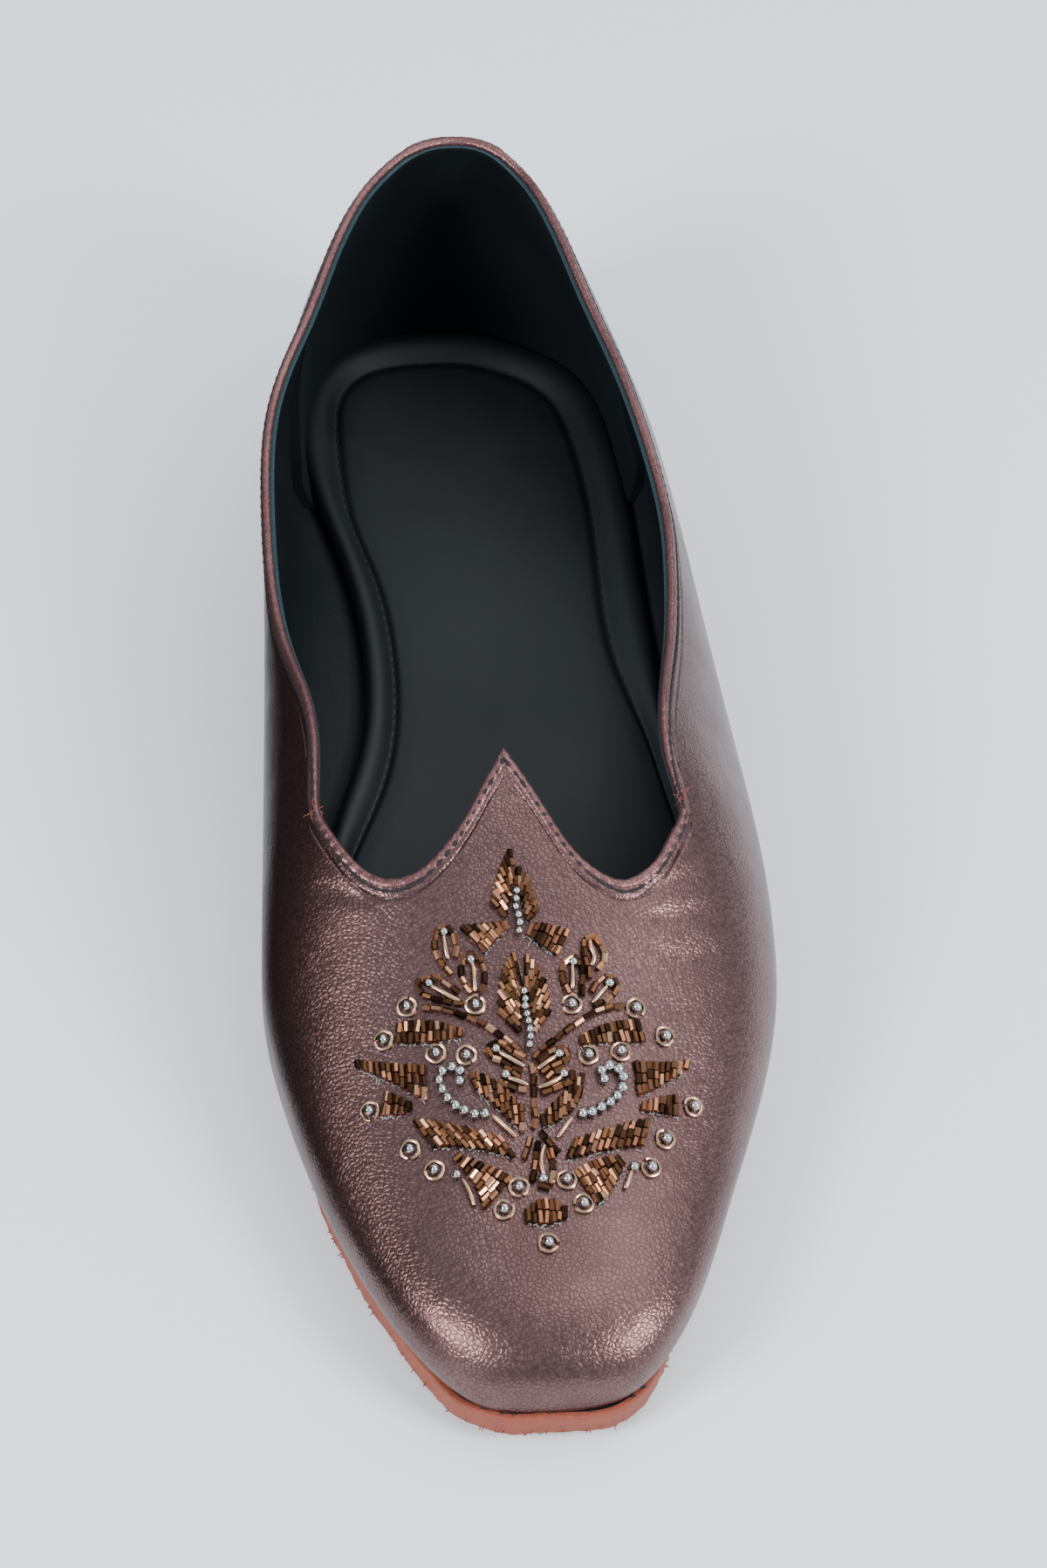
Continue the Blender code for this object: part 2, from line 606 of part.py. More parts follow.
def build_leaf(name, leaf, material, collection):
    """A pointed leaf of beads in low relief, laid on the vamp."""
    shape = dict(zip(LEAF_COLUMNS, leaf))
    tip = np.array([shape["tip_across"] * BALL_WIDTH, -shape["tip_along"] * LENGTH])
    base = np.array([shape["base_across"] * BALL_WIDTH, -shape["base_along"] * LENGTH])
    t = np.linspace(0.0, 1.0, 7)
    half = shape["width"] * BALL_WIDTH / 2 * np.clip(np.sin(np.pi * t**0.8) ** 0.75, 0.12, None)
    axis = (base - tip) / np.linalg.norm(base - tip)
    aside = np.array([-axis[1], axis[0]])
    across = np.linspace(-1, 1, 3)
    plan = (tip + (base - tip) * t[:, None])[:, None] + aside * (half[:, None] * across)[..., None]
    run = LAST.run_at(-plan[..., 1])
    points = last_point(run, across_at(run, plan[..., 0]))
    points[..., 2] += CLEARANCE
    normals = grid_normals(points, closed=False)
    relief = CLEARANCE + BEAD_RELIEF * np.array([0.6, 1.0, 0.6])[None, :, None]
    return slab(name, points, normals, CLEARANCE, relief, material, collection)


def make_material(name, colour, roughness, metallic):
    material = bpy.data.materials.new(name)
    material.use_nodes = True
    shader = material.node_tree.nodes["Principled BSDF"]
    shader.inputs["Base Color"].default_value = colour
    shader.inputs["Roughness"].default_value = roughness
    shader.inputs["Metallic"].default_value = metallic
    return material


def centre_on_floor(objects):
    """Moves all of the objects so that the middle of their box stands over the origin."""
    bpy.context.view_layer.update()
    graph = bpy.context.evaluated_depsgraph_get()
    low = np.full(3, np.inf)
    high = np.full(3, -np.inf)
    for made in objects:
        evaluated = made.evaluated_get(graph)
        mesh = evaluated.to_mesh()
        points = np.empty(len(mesh.vertices) * 3, np.float32)
        mesh.vertices.foreach_get("co", points)
        evaluated.to_mesh_clear()
        points = points.reshape(-1, 3)
        low = np.minimum(low, points.min(axis=0))
        high = np.maximum(high, points.max(axis=0))
    middle = (low + high) / 2
    for made in objects:
        made.location = (-middle[0], -middle[1], -low[2])


def main():
    for old in list(bpy.data.objects):
        bpy.data.objects.remove(old)
    collection = bpy.data.collections.new("beaded_slip_on_shoe")
    bpy.context.scene.collection.children.link(collection)
    leather = make_material("foil leather", COLOURS["leather"], 0.36, 0.75)
    edge = make_material("folded leather edge", COLOURS["edge"], 0.42, 0.6)
    lining = make_material("insole leather", COLOURS["lining"], 0.45, 0.0)
    sole = make_material("sole leather", COLOURS["sole"], 0.6, 0.0)
    beads = make_material("cut beads", COLOURS["beads"], 0.3, 0.8)

    levels = np.linspace(0, 1, WALL_ROWS + 1)
    turns = np.linspace(0, 1, TURN_ROWS + 1)
    points, normals = skin_grid(STATIONS, levels, turns)
    made = [
        build_outsole(sole, collection),
        build_insole(lining, collection),
        build_upper(points, normals, leather, collection),
        build_tab(leather, collection),
    ]
    made += build_edges(points, normals, edge, collection)
    for name, leaf in LEAVES.items():
        made.append(build_leaf(name, leaf, beads, collection))
    centre_on_floor(made)


main()
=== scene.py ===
"""Looks of a beaded slip-on shoe in foil-coated leather, for the left foot, standing empty.

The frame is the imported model's: toe towards -Y, inner side of the foot at -X, floor at Z = 0.
Every soft form is worked out from the last that the shoe was made on.
"""

from __future__ import annotations

import json
import logging
import math
from dataclasses import dataclass, field
from enum import Enum
from typing import Any, Callable, Iterable, Sequence

import bmesh
import bpy
import numpy as np
from mathutils import Matrix, Vector

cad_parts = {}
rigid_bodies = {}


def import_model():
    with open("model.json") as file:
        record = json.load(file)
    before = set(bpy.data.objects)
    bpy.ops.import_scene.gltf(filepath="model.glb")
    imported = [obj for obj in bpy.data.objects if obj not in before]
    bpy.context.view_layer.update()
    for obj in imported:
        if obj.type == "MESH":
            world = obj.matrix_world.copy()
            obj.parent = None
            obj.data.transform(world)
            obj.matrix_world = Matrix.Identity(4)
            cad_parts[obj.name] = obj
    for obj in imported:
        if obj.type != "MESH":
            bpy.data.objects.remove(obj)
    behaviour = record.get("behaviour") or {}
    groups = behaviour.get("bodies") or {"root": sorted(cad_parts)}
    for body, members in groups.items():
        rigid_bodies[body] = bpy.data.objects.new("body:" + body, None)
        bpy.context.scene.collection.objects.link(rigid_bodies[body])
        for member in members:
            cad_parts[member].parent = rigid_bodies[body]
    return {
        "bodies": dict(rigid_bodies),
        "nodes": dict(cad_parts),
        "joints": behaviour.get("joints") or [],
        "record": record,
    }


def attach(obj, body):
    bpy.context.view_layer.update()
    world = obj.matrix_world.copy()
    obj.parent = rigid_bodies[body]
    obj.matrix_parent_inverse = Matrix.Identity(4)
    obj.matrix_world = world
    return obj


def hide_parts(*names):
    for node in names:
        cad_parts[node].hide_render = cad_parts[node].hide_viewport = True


log = logging.getLogger("slip_on_shoe")

Tree = bpy.types.NodeTree
Node = bpy.types.Node
Socket = bpy.types.NodeSocket
Shape = tuple[np.ndarray, list[np.ndarray]]

MM = 0.001
BODY = "root"
# Where the last's own origin, the back of the heel on the floor, lies in the model's frame
PLACE = np.array((-2.57, 125.53, 0.0)) * MM

LENGTH = 0.2513
BALL_WIDTH = 0.0876
INSTEP_RISE = 0.050
COLLAR_RISE = 0.057
SOLE_THICKNESS = 0.0047
HEEL_LIFT = 0.006
TOE_SPRING = 0.003
CLEARANCE = 0.0003
BELOW_WIDEST = 0.22
HEEL_BREAST = 0.27
BREAST_RUN = 0.006
WAIST_START = 0.21
WAIST_RUN = 0.42
SPRING_START = 0.78
CORNER = 0.622
# How far below the top edge the folds are sewn down
SEAM = 2.2 * MM
FULL_TURN = 2 * np.pi
# Edges that bend more than this stay sharp
SHARP = math.radians(42)

# from_heel, feather_in, feather_out, widest_in, widest_out, widest_rise, crown_rise, crown_shift, fullness
LAST_ROWS = (
    (0.000, 0.000, 0.000, 0.000, 0.000, 0.140, 1.440, 0.000, 1.40),
    (0.013, 0.137, 0.143, 0.154, 0.160, 0.140, 1.440, -0.009, 1.40),
    (0.052, 0.268, 0.274, 0.285, 0.290, 0.140, 1.440, -0.027, 1.40),
    (0.115, 0.346, 0.348, 0.369, 0.372, 0.150, 1.440, -0.048, 1.42),
    (0.183, 0.360, 0.365, 0.390, 0.413, 0.180, 1.400, -0.086, 1.60),
    (0.259, 0.312, 0.365, 0.403, 0.438, 0.230, 1.320, -0.131, 2.10),
    (0.358, 0.261, 0.377, 0.421, 0.461, 0.260, 1.240, -0.120, 2.15),
    (0.458, 0.288, 0.420, 0.442, 0.491, 0.252, 1.100, -0.091, 1.80),
    (0.557, 0.371, 0.468, 0.455, 0.521, 0.224, 0.960, -0.057, 1.98),
    (0.637, 0.422, 0.489, 0.466, 0.530, 0.196, 0.824, -0.037, 2.20),
    (0.708, 0.434, 0.477, 0.470, 0.516, 0.172, 0.672, -0.021, 2.20),
    (0.780, 0.400, 0.428, 0.434, 0.463, 0.152, 0.528, -0.007, 2.25),
    (0.852, 0.338, 0.358, 0.372, 0.386, 0.132, 0.408, 0.005, 2.35),
    (0.915, 0.261, 0.292, 0.296, 0.317, 0.112, 0.328, 0.011, 2.45),
    (0.965, 0.180, 0.209, 0.211, 0.239, 0.088, 0.264, 0.014, 2.50),
    (0.992, 0.112, 0.137, 0.132, 0.160, 0.048, 0.172, 0.014, 2.30),
    (1.000, 0.000, 0.000, 0.000, 0.000, 0.000, 0.000, 0.014, 2.00),
)
# from_heel, edge_in, edge_out
SOLE_ROWS = (
    (0.002, 0.000, 0.000), (0.014, 0.136, 0.142), (0.053, 0.270, 0.281), (0.116, 0.351, 0.356),
    (0.183, 0.363, 0.368), (0.259, 0.316, 0.369), (0.358, 0.267, 0.381), (0.458, 0.293, 0.423),
    (0.557, 0.374, 0.471), (0.637, 0.424, 0.491), (0.708, 0.436, 0.479), (0.780, 0.402, 0.430),
    (0.852, 0.334, 0.352), (0.907, 0.271, 0.294), (0.939, 0.226, 0.257), (0.967, 0.192, 0.225),
    (0.987, 0.159, 0.186), (0.999, 0.106, 0.144), (1.004, 0.000, 0.000),
)
# from_heel, across
INNER_TOPLINE = (
    (0.000, -0.391), (0.016, -0.391), (0.037, -0.400), (0.075, -0.409), (0.112, -0.430), (0.150, -0.453),
    (0.180, -0.483), (0.202, -0.506), (0.228, -0.540), (0.254, -0.570), (0.309, -0.603), (0.350, -0.603),
    (0.403, -0.571), (0.467, -0.496), (0.519, -0.421), (0.561, -0.391), (0.596, -0.390), (0.616, -0.380),
    (0.632, -0.348), (0.657, -0.289), (0.674, -0.218), (0.674, -0.157), (0.663, -0.102), (0.643, -0.048),
    (0.616, -0.002), (0.597, 0.028),
)
OUTER_TOPLINE = (
    (0.000, 0.391), (0.013, 0.391), (0.034, 0.400), (0.061, 0.404), (0.099, 0.420), (0.137, 0.442),
    (0.168, 0.468), (0.205, 0.509), (0.230, 0.537), (0.279, 0.588), (0.344, 0.602), (0.399, 0.557),
    (0.438, 0.518), (0.467, 0.485), (0.514, 0.421), (0.550, 0.378), (0.581, 0.357), (0.607, 0.360),
    (0.625, 0.355), (0.640, 0.325), (0.661, 0.281), (0.674, 0.237), (0.679, 0.205), (0.676, 0.164),
    (0.661, 0.115), (0.641, 0.084), (0.619, 0.057), (0.597, 0.028),
)
# Creases pressed in by lasting and wear: from_heel and across of both ends, bow, width, depth, in mm
CREASES = (
    (153.2, -7.0, 152.6, 12.5, 0.6, 0.8, 0.10), (155.4, -12.0, 154.8, 15.5, -0.7, 0.9, 0.12),
    (157.8, -9.0, 157.0, 9.0, 0.8, 0.8, 0.10), (160.2, -16.0, 159.6, -3.0, 0.6, 1.0, 0.10),
    (159.8, 8.0, 161.6, 19.0, -0.9, 1.1, 0.12), (163.4, -19.0, 161.5, -8.0, 0.9, 1.1, 0.09),
    (166.0, 15.0, 161.0, 30.0, 1.2, 1.7, 0.17), (171.0, 17.0, 165.5, 33.0, 1.4, 1.9, 0.20),
    (176.5, 19.0, 171.0, 35.0, 1.3, 2.0, 0.18), (183.0, 22.0, 177.0, 36.5, 1.2, 2.2, 0.16),
    (165.0, -17.0, 160.0, -31.0, -1.0, 1.8, 0.13), (172.0, -20.0, 166.0, -34.0, -1.2, 2.0, 0.14),
    (202.0, 22.0, 197.5, 30.5, 0.8, 1.4, 0.16), (150.5, 20.5, 158.0, 32.0, 0.8, 1.6, 0.14),
    (148.5, -22.0, 157.0, -33.0, -0.8, 1.6, 0.12),
)
# The insole's stitched groove and the outer line of its padded border: from_heel, inner, outer
GROOVE_ROWS = (
    (0.070, 0.000, 0.000), (0.076, 0.152, 0.080), (0.092, 0.220, 0.165), (0.112, 0.250, 0.216),
    (0.140, 0.261, 0.245), (0.184, 0.260, 0.266), (0.239, 0.245, 0.278), (0.303, 0.200, 0.280),
    (0.378, 0.173, 0.293), (0.448, 0.182, 0.341), (0.493, 0.214, 0.365), (0.557, 0.285, 0.395),
    (0.637, 0.335, 0.400), (0.708, 0.345, 0.385), (0.780, 0.310, 0.335), (0.852, 0.245, 0.260),
    (0.898, 0.165, 0.185), (0.919, 0.085, 0.100), (0.925, 0.000, 0.000),
)
BORDER_ROWS = (
    (0.035, 0.000, 0.000), (0.041, 0.160, 0.100), (0.055, 0.243, 0.180), (0.075, 0.298, 0.258),
    (0.103, 0.333, 0.313), (0.138, 0.347, 0.340), (0.183, 0.337, 0.355), (0.245, 0.298, 0.367),
    (0.317, 0.252, 0.373), (0.390, 0.234, 0.381), (0.458, 0.254, 0.390), (0.512, 0.302, 0.417),
    (0.570, 0.346, 0.440), (0.637, 0.391, 0.458), (0.708, 0.403, 0.446), (0.780, 0.369, 0.397),
    (0.852, 0.305, 0.325), (0.915, 0.222, 0.250), (0.942, 0.150, 0.175), (0.957, 0.080, 0.100),
    (0.961, 0.000, 0.000),
)
RUN_OF_TOP = (0.0, 0.28, 0.56, 0.72, 0.82, 0.92, 1.0)
RUN_OF_FEATHER = (0.0, 0.27, 0.54, 0.70, 0.82, 0.93, 1.0)


def cubic(knots: np.ndarray, values: np.ndarray, at: np.ndarray) -> np.ndarray:
    """Natural cubic curve: its second derivative is a broken line that is 0 at both ends.

    Args:
        knots: Rising positions of the values.
        values: A row of values for each knot.
        at: Positions to read.

    Returns:
        A row of values for each position read.
    """
    gap = np.diff(knots)
    count = len(knots)
    matrix = np.zeros((count, count))
    matrix[0, 0] = matrix[-1, -1] = 1
    right = np.zeros_like(values)
    for i in range(1, count - 1):
        matrix[i, i - 1 : i + 2] = gap[i - 1], 2 * (gap[i - 1] + gap[i]), gap[i]
        right[i] = 6 * ((values[i + 1] - values[i]) / gap[i] - (values[i] - values[i - 1]) / gap[i - 1])
    bend = np.linalg.solve(matrix, right)
    at = np.asarray(at, float)
    k = np.clip(np.searchsorted(knots, at) - 1, 0, count - 2)
    step = (at - knots[k])[..., None]
    width = gap[k][..., None]
    slope = (values[k + 1] - values[k]) / width - width * (2 * bend[k] + bend[k + 1]) / 6
    cube = (bend[k + 1] - bend[k]) / (6 * width)
    return values[k] + step * slope + step**2 * bend[k] / 2 + step**3 * cube


def eased(share: np.ndarray) -> np.ndarray:
    """Smooth step 6s^5 - 15s^4 + 10s^3 of a share, held at 0 and 1."""
    share = np.clip(share, 0, 1)
    return share**3 * (share * (6 * share - 15) + 10)


def unit(vectors: np.ndarray) -> np.ndarray:
    """Each vector divided by its length."""
    return vectors / np.maximum(np.linalg.norm(vectors, axis=-1, keepdims=True), 1e-12)


def sole_base(along: np.ndarray) -> np.ndarray:
    """Height of the sheet's underside: the waist falls from the heel seat, and the toe springs up."""
    share = along / LENGTH
    lift = HEEL_LIFT * (1 - eased((share - WAIST_START) / WAIST_RUN))
    spring = np.clip((share - SPRING_START) / (1 - SPRING_START), 0, None)
    return lift + TOE_SPRING * spring**2


def sole_top(along: np.ndarray) -> np.ndarray:
    """Height of the sheet's upper face."""
    return sole_base(along) + SOLE_THICKNESS


def tread(along: np.ndarray) -> np.ndarray:
    """Height of the underside, where the heel block stands on the floor up to its breast."""
    return sole_base(along) * np.clip((along - HEEL_BREAST * LENGTH) / BREAST_RUN, 0, 1)


class Rows:
    """Sections from heel to toe as natural cubic curves of a run that starts at the heel."""

    def __init__(
        self, rows: Sequence, scales: Sequence, halves: list[int], at_heel: list[int], at_toe: list[int]
    ) -> None:
        """Mirrors rows past both ends, so that the ends come out round.

        Args:
            rows: The table of sections.
            scales: What each column is a share of.
            halves: Columns whose mean is the half width.
            at_heel: Columns whose sign changes past the heel.
            at_toe: Columns whose sign changes past the tip.
        """
        table = np.array(rows) * np.array(scales)
        spread = table[:, halves].mean(axis=1)
        top = table[:, at_toe[-1]] * np.linspace(0, 1, len(table)) ** 3
        steps = np.diff(np.stack([table[:, 0], spread, top]))
        run = np.concatenate([[0], np.cumsum(np.linalg.norm(steps, axis=0))])
        before = table[1:4][::-1].copy()
        before[:, at_heel] *= -1
        after = table[-4:-1][::-1].copy()
        after[:, at_toe] *= -1
        self.end = run[-1]
        self.knots = np.concatenate([-run[1:4][::-1], run, 2 * run[-1] - run[-4:-1][::-1]])
        self.table = np.vstack([before, table, after])

    def at(self, run: np.ndarray) -> np.ndarray:
        """The section's values at each run."""
        return cubic(self.knots, self.table, run)

    def run_at(self, along: np.ndarray) -> np.ndarray:
        """The run whose section lies this far from the heel, found by halving."""
        low = np.zeros_like(along)
        high = np.full_like(along, self.end)
        for _ in range(40):
            middle = (low + high) / 2
            short = self.at(middle)[..., 0] < along
            low = np.where(short, middle, low)
            high = np.where(short, high, middle)
        return (low + high) / 2


LAST = Rows(
    LAST_ROWS,
    (LENGTH,) + (BALL_WIDTH,) * 4 + (INSTEP_RISE,) * 2 + (BALL_WIDTH, 1),
    halves=[3, 4], at_heel=[1, 2, 3, 4, 7], at_toe=[1, 2, 3, 4, 5, 6],
)
IN_PLAN = (LENGTH, BALL_WIDTH, BALL_WIDTH)
SOLE = Rows(SOLE_ROWS, IN_PLAN, halves=[1, 2], at_heel=[1, 2], at_toe=[1, 2])
GROOVE = Rows(GROOVE_ROWS, IN_PLAN, halves=[1, 2], at_heel=[1, 2], at_toe=[1, 2])
BORDER = Rows(BORDER_ROWS, IN_PLAN, halves=[1, 2], at_heel=[1, 2], at_toe=[1, 2])


def counter_foot(along: np.ndarray) -> np.ndarray:
    """How thick the heel counter is at its foot, easing out towards its front seams."""
    share = along / LENGTH
    behind = 1.9 + 2.3 * (1 - eased(share / 0.13))
    return behind * MM * (1 - eased((share - 0.19) / 0.10))


def heel_back(height: np.ndarray, along: np.ndarray) -> np.ndarray:
    """How far the back of the heel leans in above and below its roundest height."""
    round_at = sole_top(0.0) + 0.27 * INSTEP_RISE
    near = np.clip(1 - along / (0.25 * LENGTH), 0, 1) ** 2
    above = 0.0024 * np.clip((height - round_at) / 0.033, 0, None) ** 2
    below = 0.0016 * np.clip((round_at - height) / 0.0135, 0, None) ** 2
    return (above + below) * near


def last_point(run: np.ndarray, across: np.ndarray) -> np.ndarray:
    """A point of the last, in the model's frame.

    Below the widest line the half section is a quarter of an ellipse that turns in to the
    feather line. Above it, with n the fullness, x = widest * cos(a)^(2/n) and
    z = rise * sin(a)^(2/n), a from 0 to a quarter turn at the crown.

    Args:
        run: Distance along the sections from the heel.
        across: From 0 at the crown to 1 at the feather line, negative on the inner side.

    Returns:
        Points with X, Y and Z in the last axis.
    """
    run, across = np.broadcast_arrays(np.asarray(run, float), np.asarray(across, float))
    row = LAST.at(run)
    inner = across < 0
    feather = np.where(inner, row[..., 1], row[..., 2])
    widest = np.where(inner, row[..., 3], row[..., 4])
    side = np.where(inner, -1.0, 1.0)
    up = 1 - np.abs(across)
    turn = np.clip(up / BELOW_WIDEST, 0, 1) * np.pi / 2
    arch = np.clip((up - BELOW_WIDEST) / (1 - BELOW_WIDEST), 0, 1) * np.pi / 2
    out = np.cos(arch) ** (2 / row[..., 8])
    rise = np.sin(arch) ** (2 / row[..., 8])
    below = up < BELOW_WIDEST
    turned = side * (feather + (widest - feather) * np.sin(turn))
    x = np.where(below, turned, side * widest * out + row[..., 7] * rise)
    z = np.where(below, row[..., 5] * (1 - np.cos(turn)), row[..., 5] + (row[..., 6] - row[..., 5]) * rise)
    z = z + sole_top(row[..., 0])
    points = np.stack([x, -row[..., 0] - heel_back(z, row[..., 0]), z + CLEARANCE], axis=-1)
    return points + PLACE


def across_at(run: np.ndarray, x: np.ndarray) -> np.ndarray:
    """Where the section above its widest line passes over x, found by halving."""
    low = np.full_like(run, BELOW_WIDEST - 1)
    high = np.full_like(run, 1 - BELOW_WIDEST)
    for _ in range(40):
        middle = (low + high) / 2
        short = last_point(run, middle)[..., 0] < x
        low = np.where(short, middle, low)
        high = np.where(short, high, middle)
    return (low + high) / 2


def lengths(points: np.ndarray) -> np.ndarray:
    """Distance along a line of points, from its first."""
    return np.concatenate([[0], np.cumsum(np.linalg.norm(np.diff(points, axis=0), axis=1))])


def spaced(points: np.ndarray, shares: np.ndarray) -> np.ndarray:
    """Places along a line of points at shares of its length, as fractional indices."""
    run = lengths(points)
    return np.interp(shares * run[-1], run, np.arange(len(points)))


def read_at(points: np.ndarray, places: np.ndarray) -> np.ndarray:
    """Rows of a table at fractional indices, by straight interpolation."""
    low = np.clip(np.floor(places).astype(int), 0, len(points) - 2)
    part = (places - low)[:, None]
    return points[low] * (1 - part) + points[low + 1] * part


def rounded(vectors: np.ndarray, count: int) -> np.ndarray:
    """A line of vectors, each replaced by the mean of those around it."""
    half = count // 2
    padded = np.concatenate([vectors[:1].repeat(half, 0), vectors, vectors[-1:].repeat(half, 0)])
    return np.stack([np.convolve(column, np.ones(count) / count, "valid") for column in padded.T], axis=1)


def top_edge(rows: Sequence, shares: np.ndarray) -> np.ndarray:
    """(run, across) along one side's top edge, heel to peak, at shares of its length."""
    table = np.array(rows)
    table = np.stack([LAST.run_at(table[:, 0] * LENGTH), table[:, 1]], axis=1)
    knots = lengths(last_point(*table.T))
    fine = cubic(knots, table, np.linspace(0, knots[-1], 900))
    return read_at(fine, spaced(last_point(*fine.T), shares))


def half_skin(
    rows: Sequence, side: int, shares: np.ndarray, levels: np.ndarray, turns: np.ndarray
) -> np.ndarray:
    """Lines of one side from the top edge to the feather line.

    On the walls a line is start + share * (end - start) in run and across. On the vamp it is
    straight in plan, with its share eased as 1 - (1 - share)^1.5. An eased weight joins them.

    Args:
        rows: The side's top edge.
        side: -1 for the inner side, 1 for the outer.
        shares: Where each line starts, as shares of the top edge's length.
        levels: Shares of the way down to the widest line.
        turns: Shares of the way from there to the feather line.

    Returns:
        (run, across) for each line and level.
    """
    top = top_edge(rows, shares)
    feather = LAST.at(np.linspace(0, LAST.end, 400))[:, [0, 3 if side < 0 else 4]]
    at = spaced(feather, np.interp(shares, RUN_OF_TOP, RUN_OF_FEATHER))
    foot = at / 399 * LAST.end
    edge = side * (1 - BELOW_WIDEST)
    share = levels[None, :, None]
    below = np.stack([foot, np.full_like(foot, edge)], axis=1)
    wall = (1 - share) * top[:, None, :] + share * below[:, None, :]
    start = last_point(*top.T)[:, :2]
    end = last_point(foot, edge)[:, :2]
    plan = start[:, None] + (end - start)[:, None] * (1 - (1 - share) ** 1.5)
    run = LAST.run_at(PLACE[1] - plan[..., 1])
    fan = np.stack([run, across_at(run, plan[..., 0])], axis=-1)
    fan[:, 0] = top
    fan[:, -1] = wall[:, -1]
    on_vamp = eased((foot / LAST.end - 0.50) / 0.18)[:, None, None]
    skin = (1 - on_vamp) * wall + on_vamp * fan
    under = side * (1 - BELOW_WIDEST * (1 - turns[None, 1:]))
    low = np.stack(np.broadcast_arrays(foot[:, None], under), axis=-1)
    return np.concatenate([skin, low], axis=1)


def puckers(run: np.ndarray) -> np.ndarray:
    """The folds' small gathers: a sine of the distance, its phase swayed by two slower sines."""
    sway = 1.9 * np.sin(run / (5.3 * MM)) + 1.1 * np.sin(run / (12.7 * MM))
    return np.sin(run / (2.1 * MM) * FULL_TURN + sway)


def grid_normals(points: np.ndarray, closed: bool = True) -> np.ndarray:
    """Unit normals of a grid of points, facing away from the middle of the shoe."""
    if closed:
        along = np.roll(points, -1, axis=0) - np.roll(points, 1, axis=0)
    else:
        along = np.gradient(points, axis=0)
    normals = unit(np.cross(np.gradient(points, axis=1), along))
    middle = PLACE + (0, -LENGTH / 2, 0)
    return normals * np.sign((normals * (points - middle)).sum(axis=-1).mean())


def quads(numbers: np.ndarray) -> np.ndarray:
    """The faces of a grid of vertex numbers."""
    a = numbers
    return np.stack([a[:-1, :-1], a[1:, :-1], a[1:, 1:], a[:-1, 1:]], axis=-1).reshape(-1, 4)


def ring_closed(numbers: np.ndarray) -> np.ndarray:
    """A grid of vertex numbers with its first line repeated after its last."""
    return np.concatenate([numbers, numbers[:1]])


def volume_of(points: np.ndarray, faces: Iterable[np.ndarray]) -> float:
    """Six times the volume: the sum over triangles of a . (b x c)."""
    total = 0.0
    for block in faces:
        for i in range(1, block.shape[1] - 1):
            a, b, c = points[block[:, 0]], points[block[:, i]], points[block[:, i + 1]]
            total += float((a * np.cross(b, c)).sum())
    return total


def make_piece(
    name: str,
    points: np.ndarray,
    faces: Sequence[np.ndarray],
    materials: Sequence[bpy.types.Material],
    choice: np.ndarray | None = None,
    tint: np.ndarray | None = None,
    merge: bool = False,
) -> bpy.types.Object:
    """Makes one closed piece, its faces turned outwards.

    Args:
        name: The piece's name.
        points: Its vertices, in metres.
        faces: Blocks of faces, each block with one number of corners.
        materials: Its finishes.
        choice: The finish of each face, by number.
        tint: A shade between 0 and 1 for each vertex.
        merge: Whether vertices that coincide become one.

    Returns:
        The object, riding on the shoe.
    """
    points = np.asarray(points, float).reshape(-1, 3)
    if volume_of(points, faces) < 0:
        faces = [block[:, ::-1] for block in faces]
    mesh = bpy.data.meshes.new(name)
    sizes = np.concatenate([np.full(len(block), block.shape[1]) for block in faces])
    loops = np.concatenate([block.ravel() for block in faces])
    mesh.vertices.add(len(points))
    mesh.vertices.foreach_set("co", points.astype(np.float32).ravel())
    mesh.loops.add(len(loops))
    mesh.loops.foreach_set("vertex_index", loops.astype(np.int32))
    mesh.polygons.add(len(sizes))
    starts = np.concatenate([[0], np.cumsum(sizes)[:-1]])
    mesh.polygons.foreach_set("loop_start", starts.astype(np.int32))
    for finish in materials:
        mesh.materials.append(finish)
    if choice is not None:
        mesh.polygons.foreach_set("material_index", choice.astype(np.int32))
    if tint is not None:
        shade = mesh.attributes.new("tint", "FLOAT", "POINT")
        shade.data.foreach_set("value", tint.astype(np.float32).ravel())
    mesh.update(calc_edges=True)
    mesh.validate()
    if merge:
        clean(mesh)
    mesh.shade_smooth()
    mesh.set_sharp_from_angle(angle=SHARP)
    made = bpy.data.objects.new(name, mesh)
    bpy.context.scene.collection.objects.link(made)
    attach(made, BODY)
    log.info("%s: %d faces", name, len(mesh.polygons))
    return made


def clean(mesh: bpy.types.Mesh) -> None:
    """Merges a mesh's doubles, drops its collapsed faces and turns the rest outwards."""
    work = bmesh.new()
    work.from_mesh(mesh)
    bmesh.ops.remove_doubles(work, verts=work.verts, dist=2e-6)
    bmesh.ops.dissolve_degenerate(work, edges=work.edges, dist=1e-7)
    bmesh.ops.recalc_face_normals(work, faces=work.faces)
    work.to_mesh(mesh)
    work.free()


def linear(colour: str) -> tuple[float, float, float, float]:
    """The linear value of an sRGB hex colour."""
    parts = [int(colour[i : i + 2], 16) / 255 for i in (1, 3, 5)]
    r, g, b = (p / 12.92 if p <= 0.04045 else ((p + 0.055) / 1.055) ** 2.4 for p in parts)
    return r, g, b, 1.0


def add(tree: Tree, kind: str, links: dict[Any, Any] | None = None, **settings: Any) -> Node:
    """Adds a node.

    Args:
        tree: The material's nodes.
        kind: The node's type.
        links: For each input, by name or number, the output that feeds it or its value.
        settings: The node's own settings.

    Returns:
        The node.
    """
    made = tree.nodes.new(kind)
    for key, value in settings.items():
        setattr(made, key, value)
    for key, value in (links or {}).items():
        if isinstance(value, Socket):
            tree.links.new(value, made.inputs[key])
        else:
            made.inputs[key].default_value = value
    return made


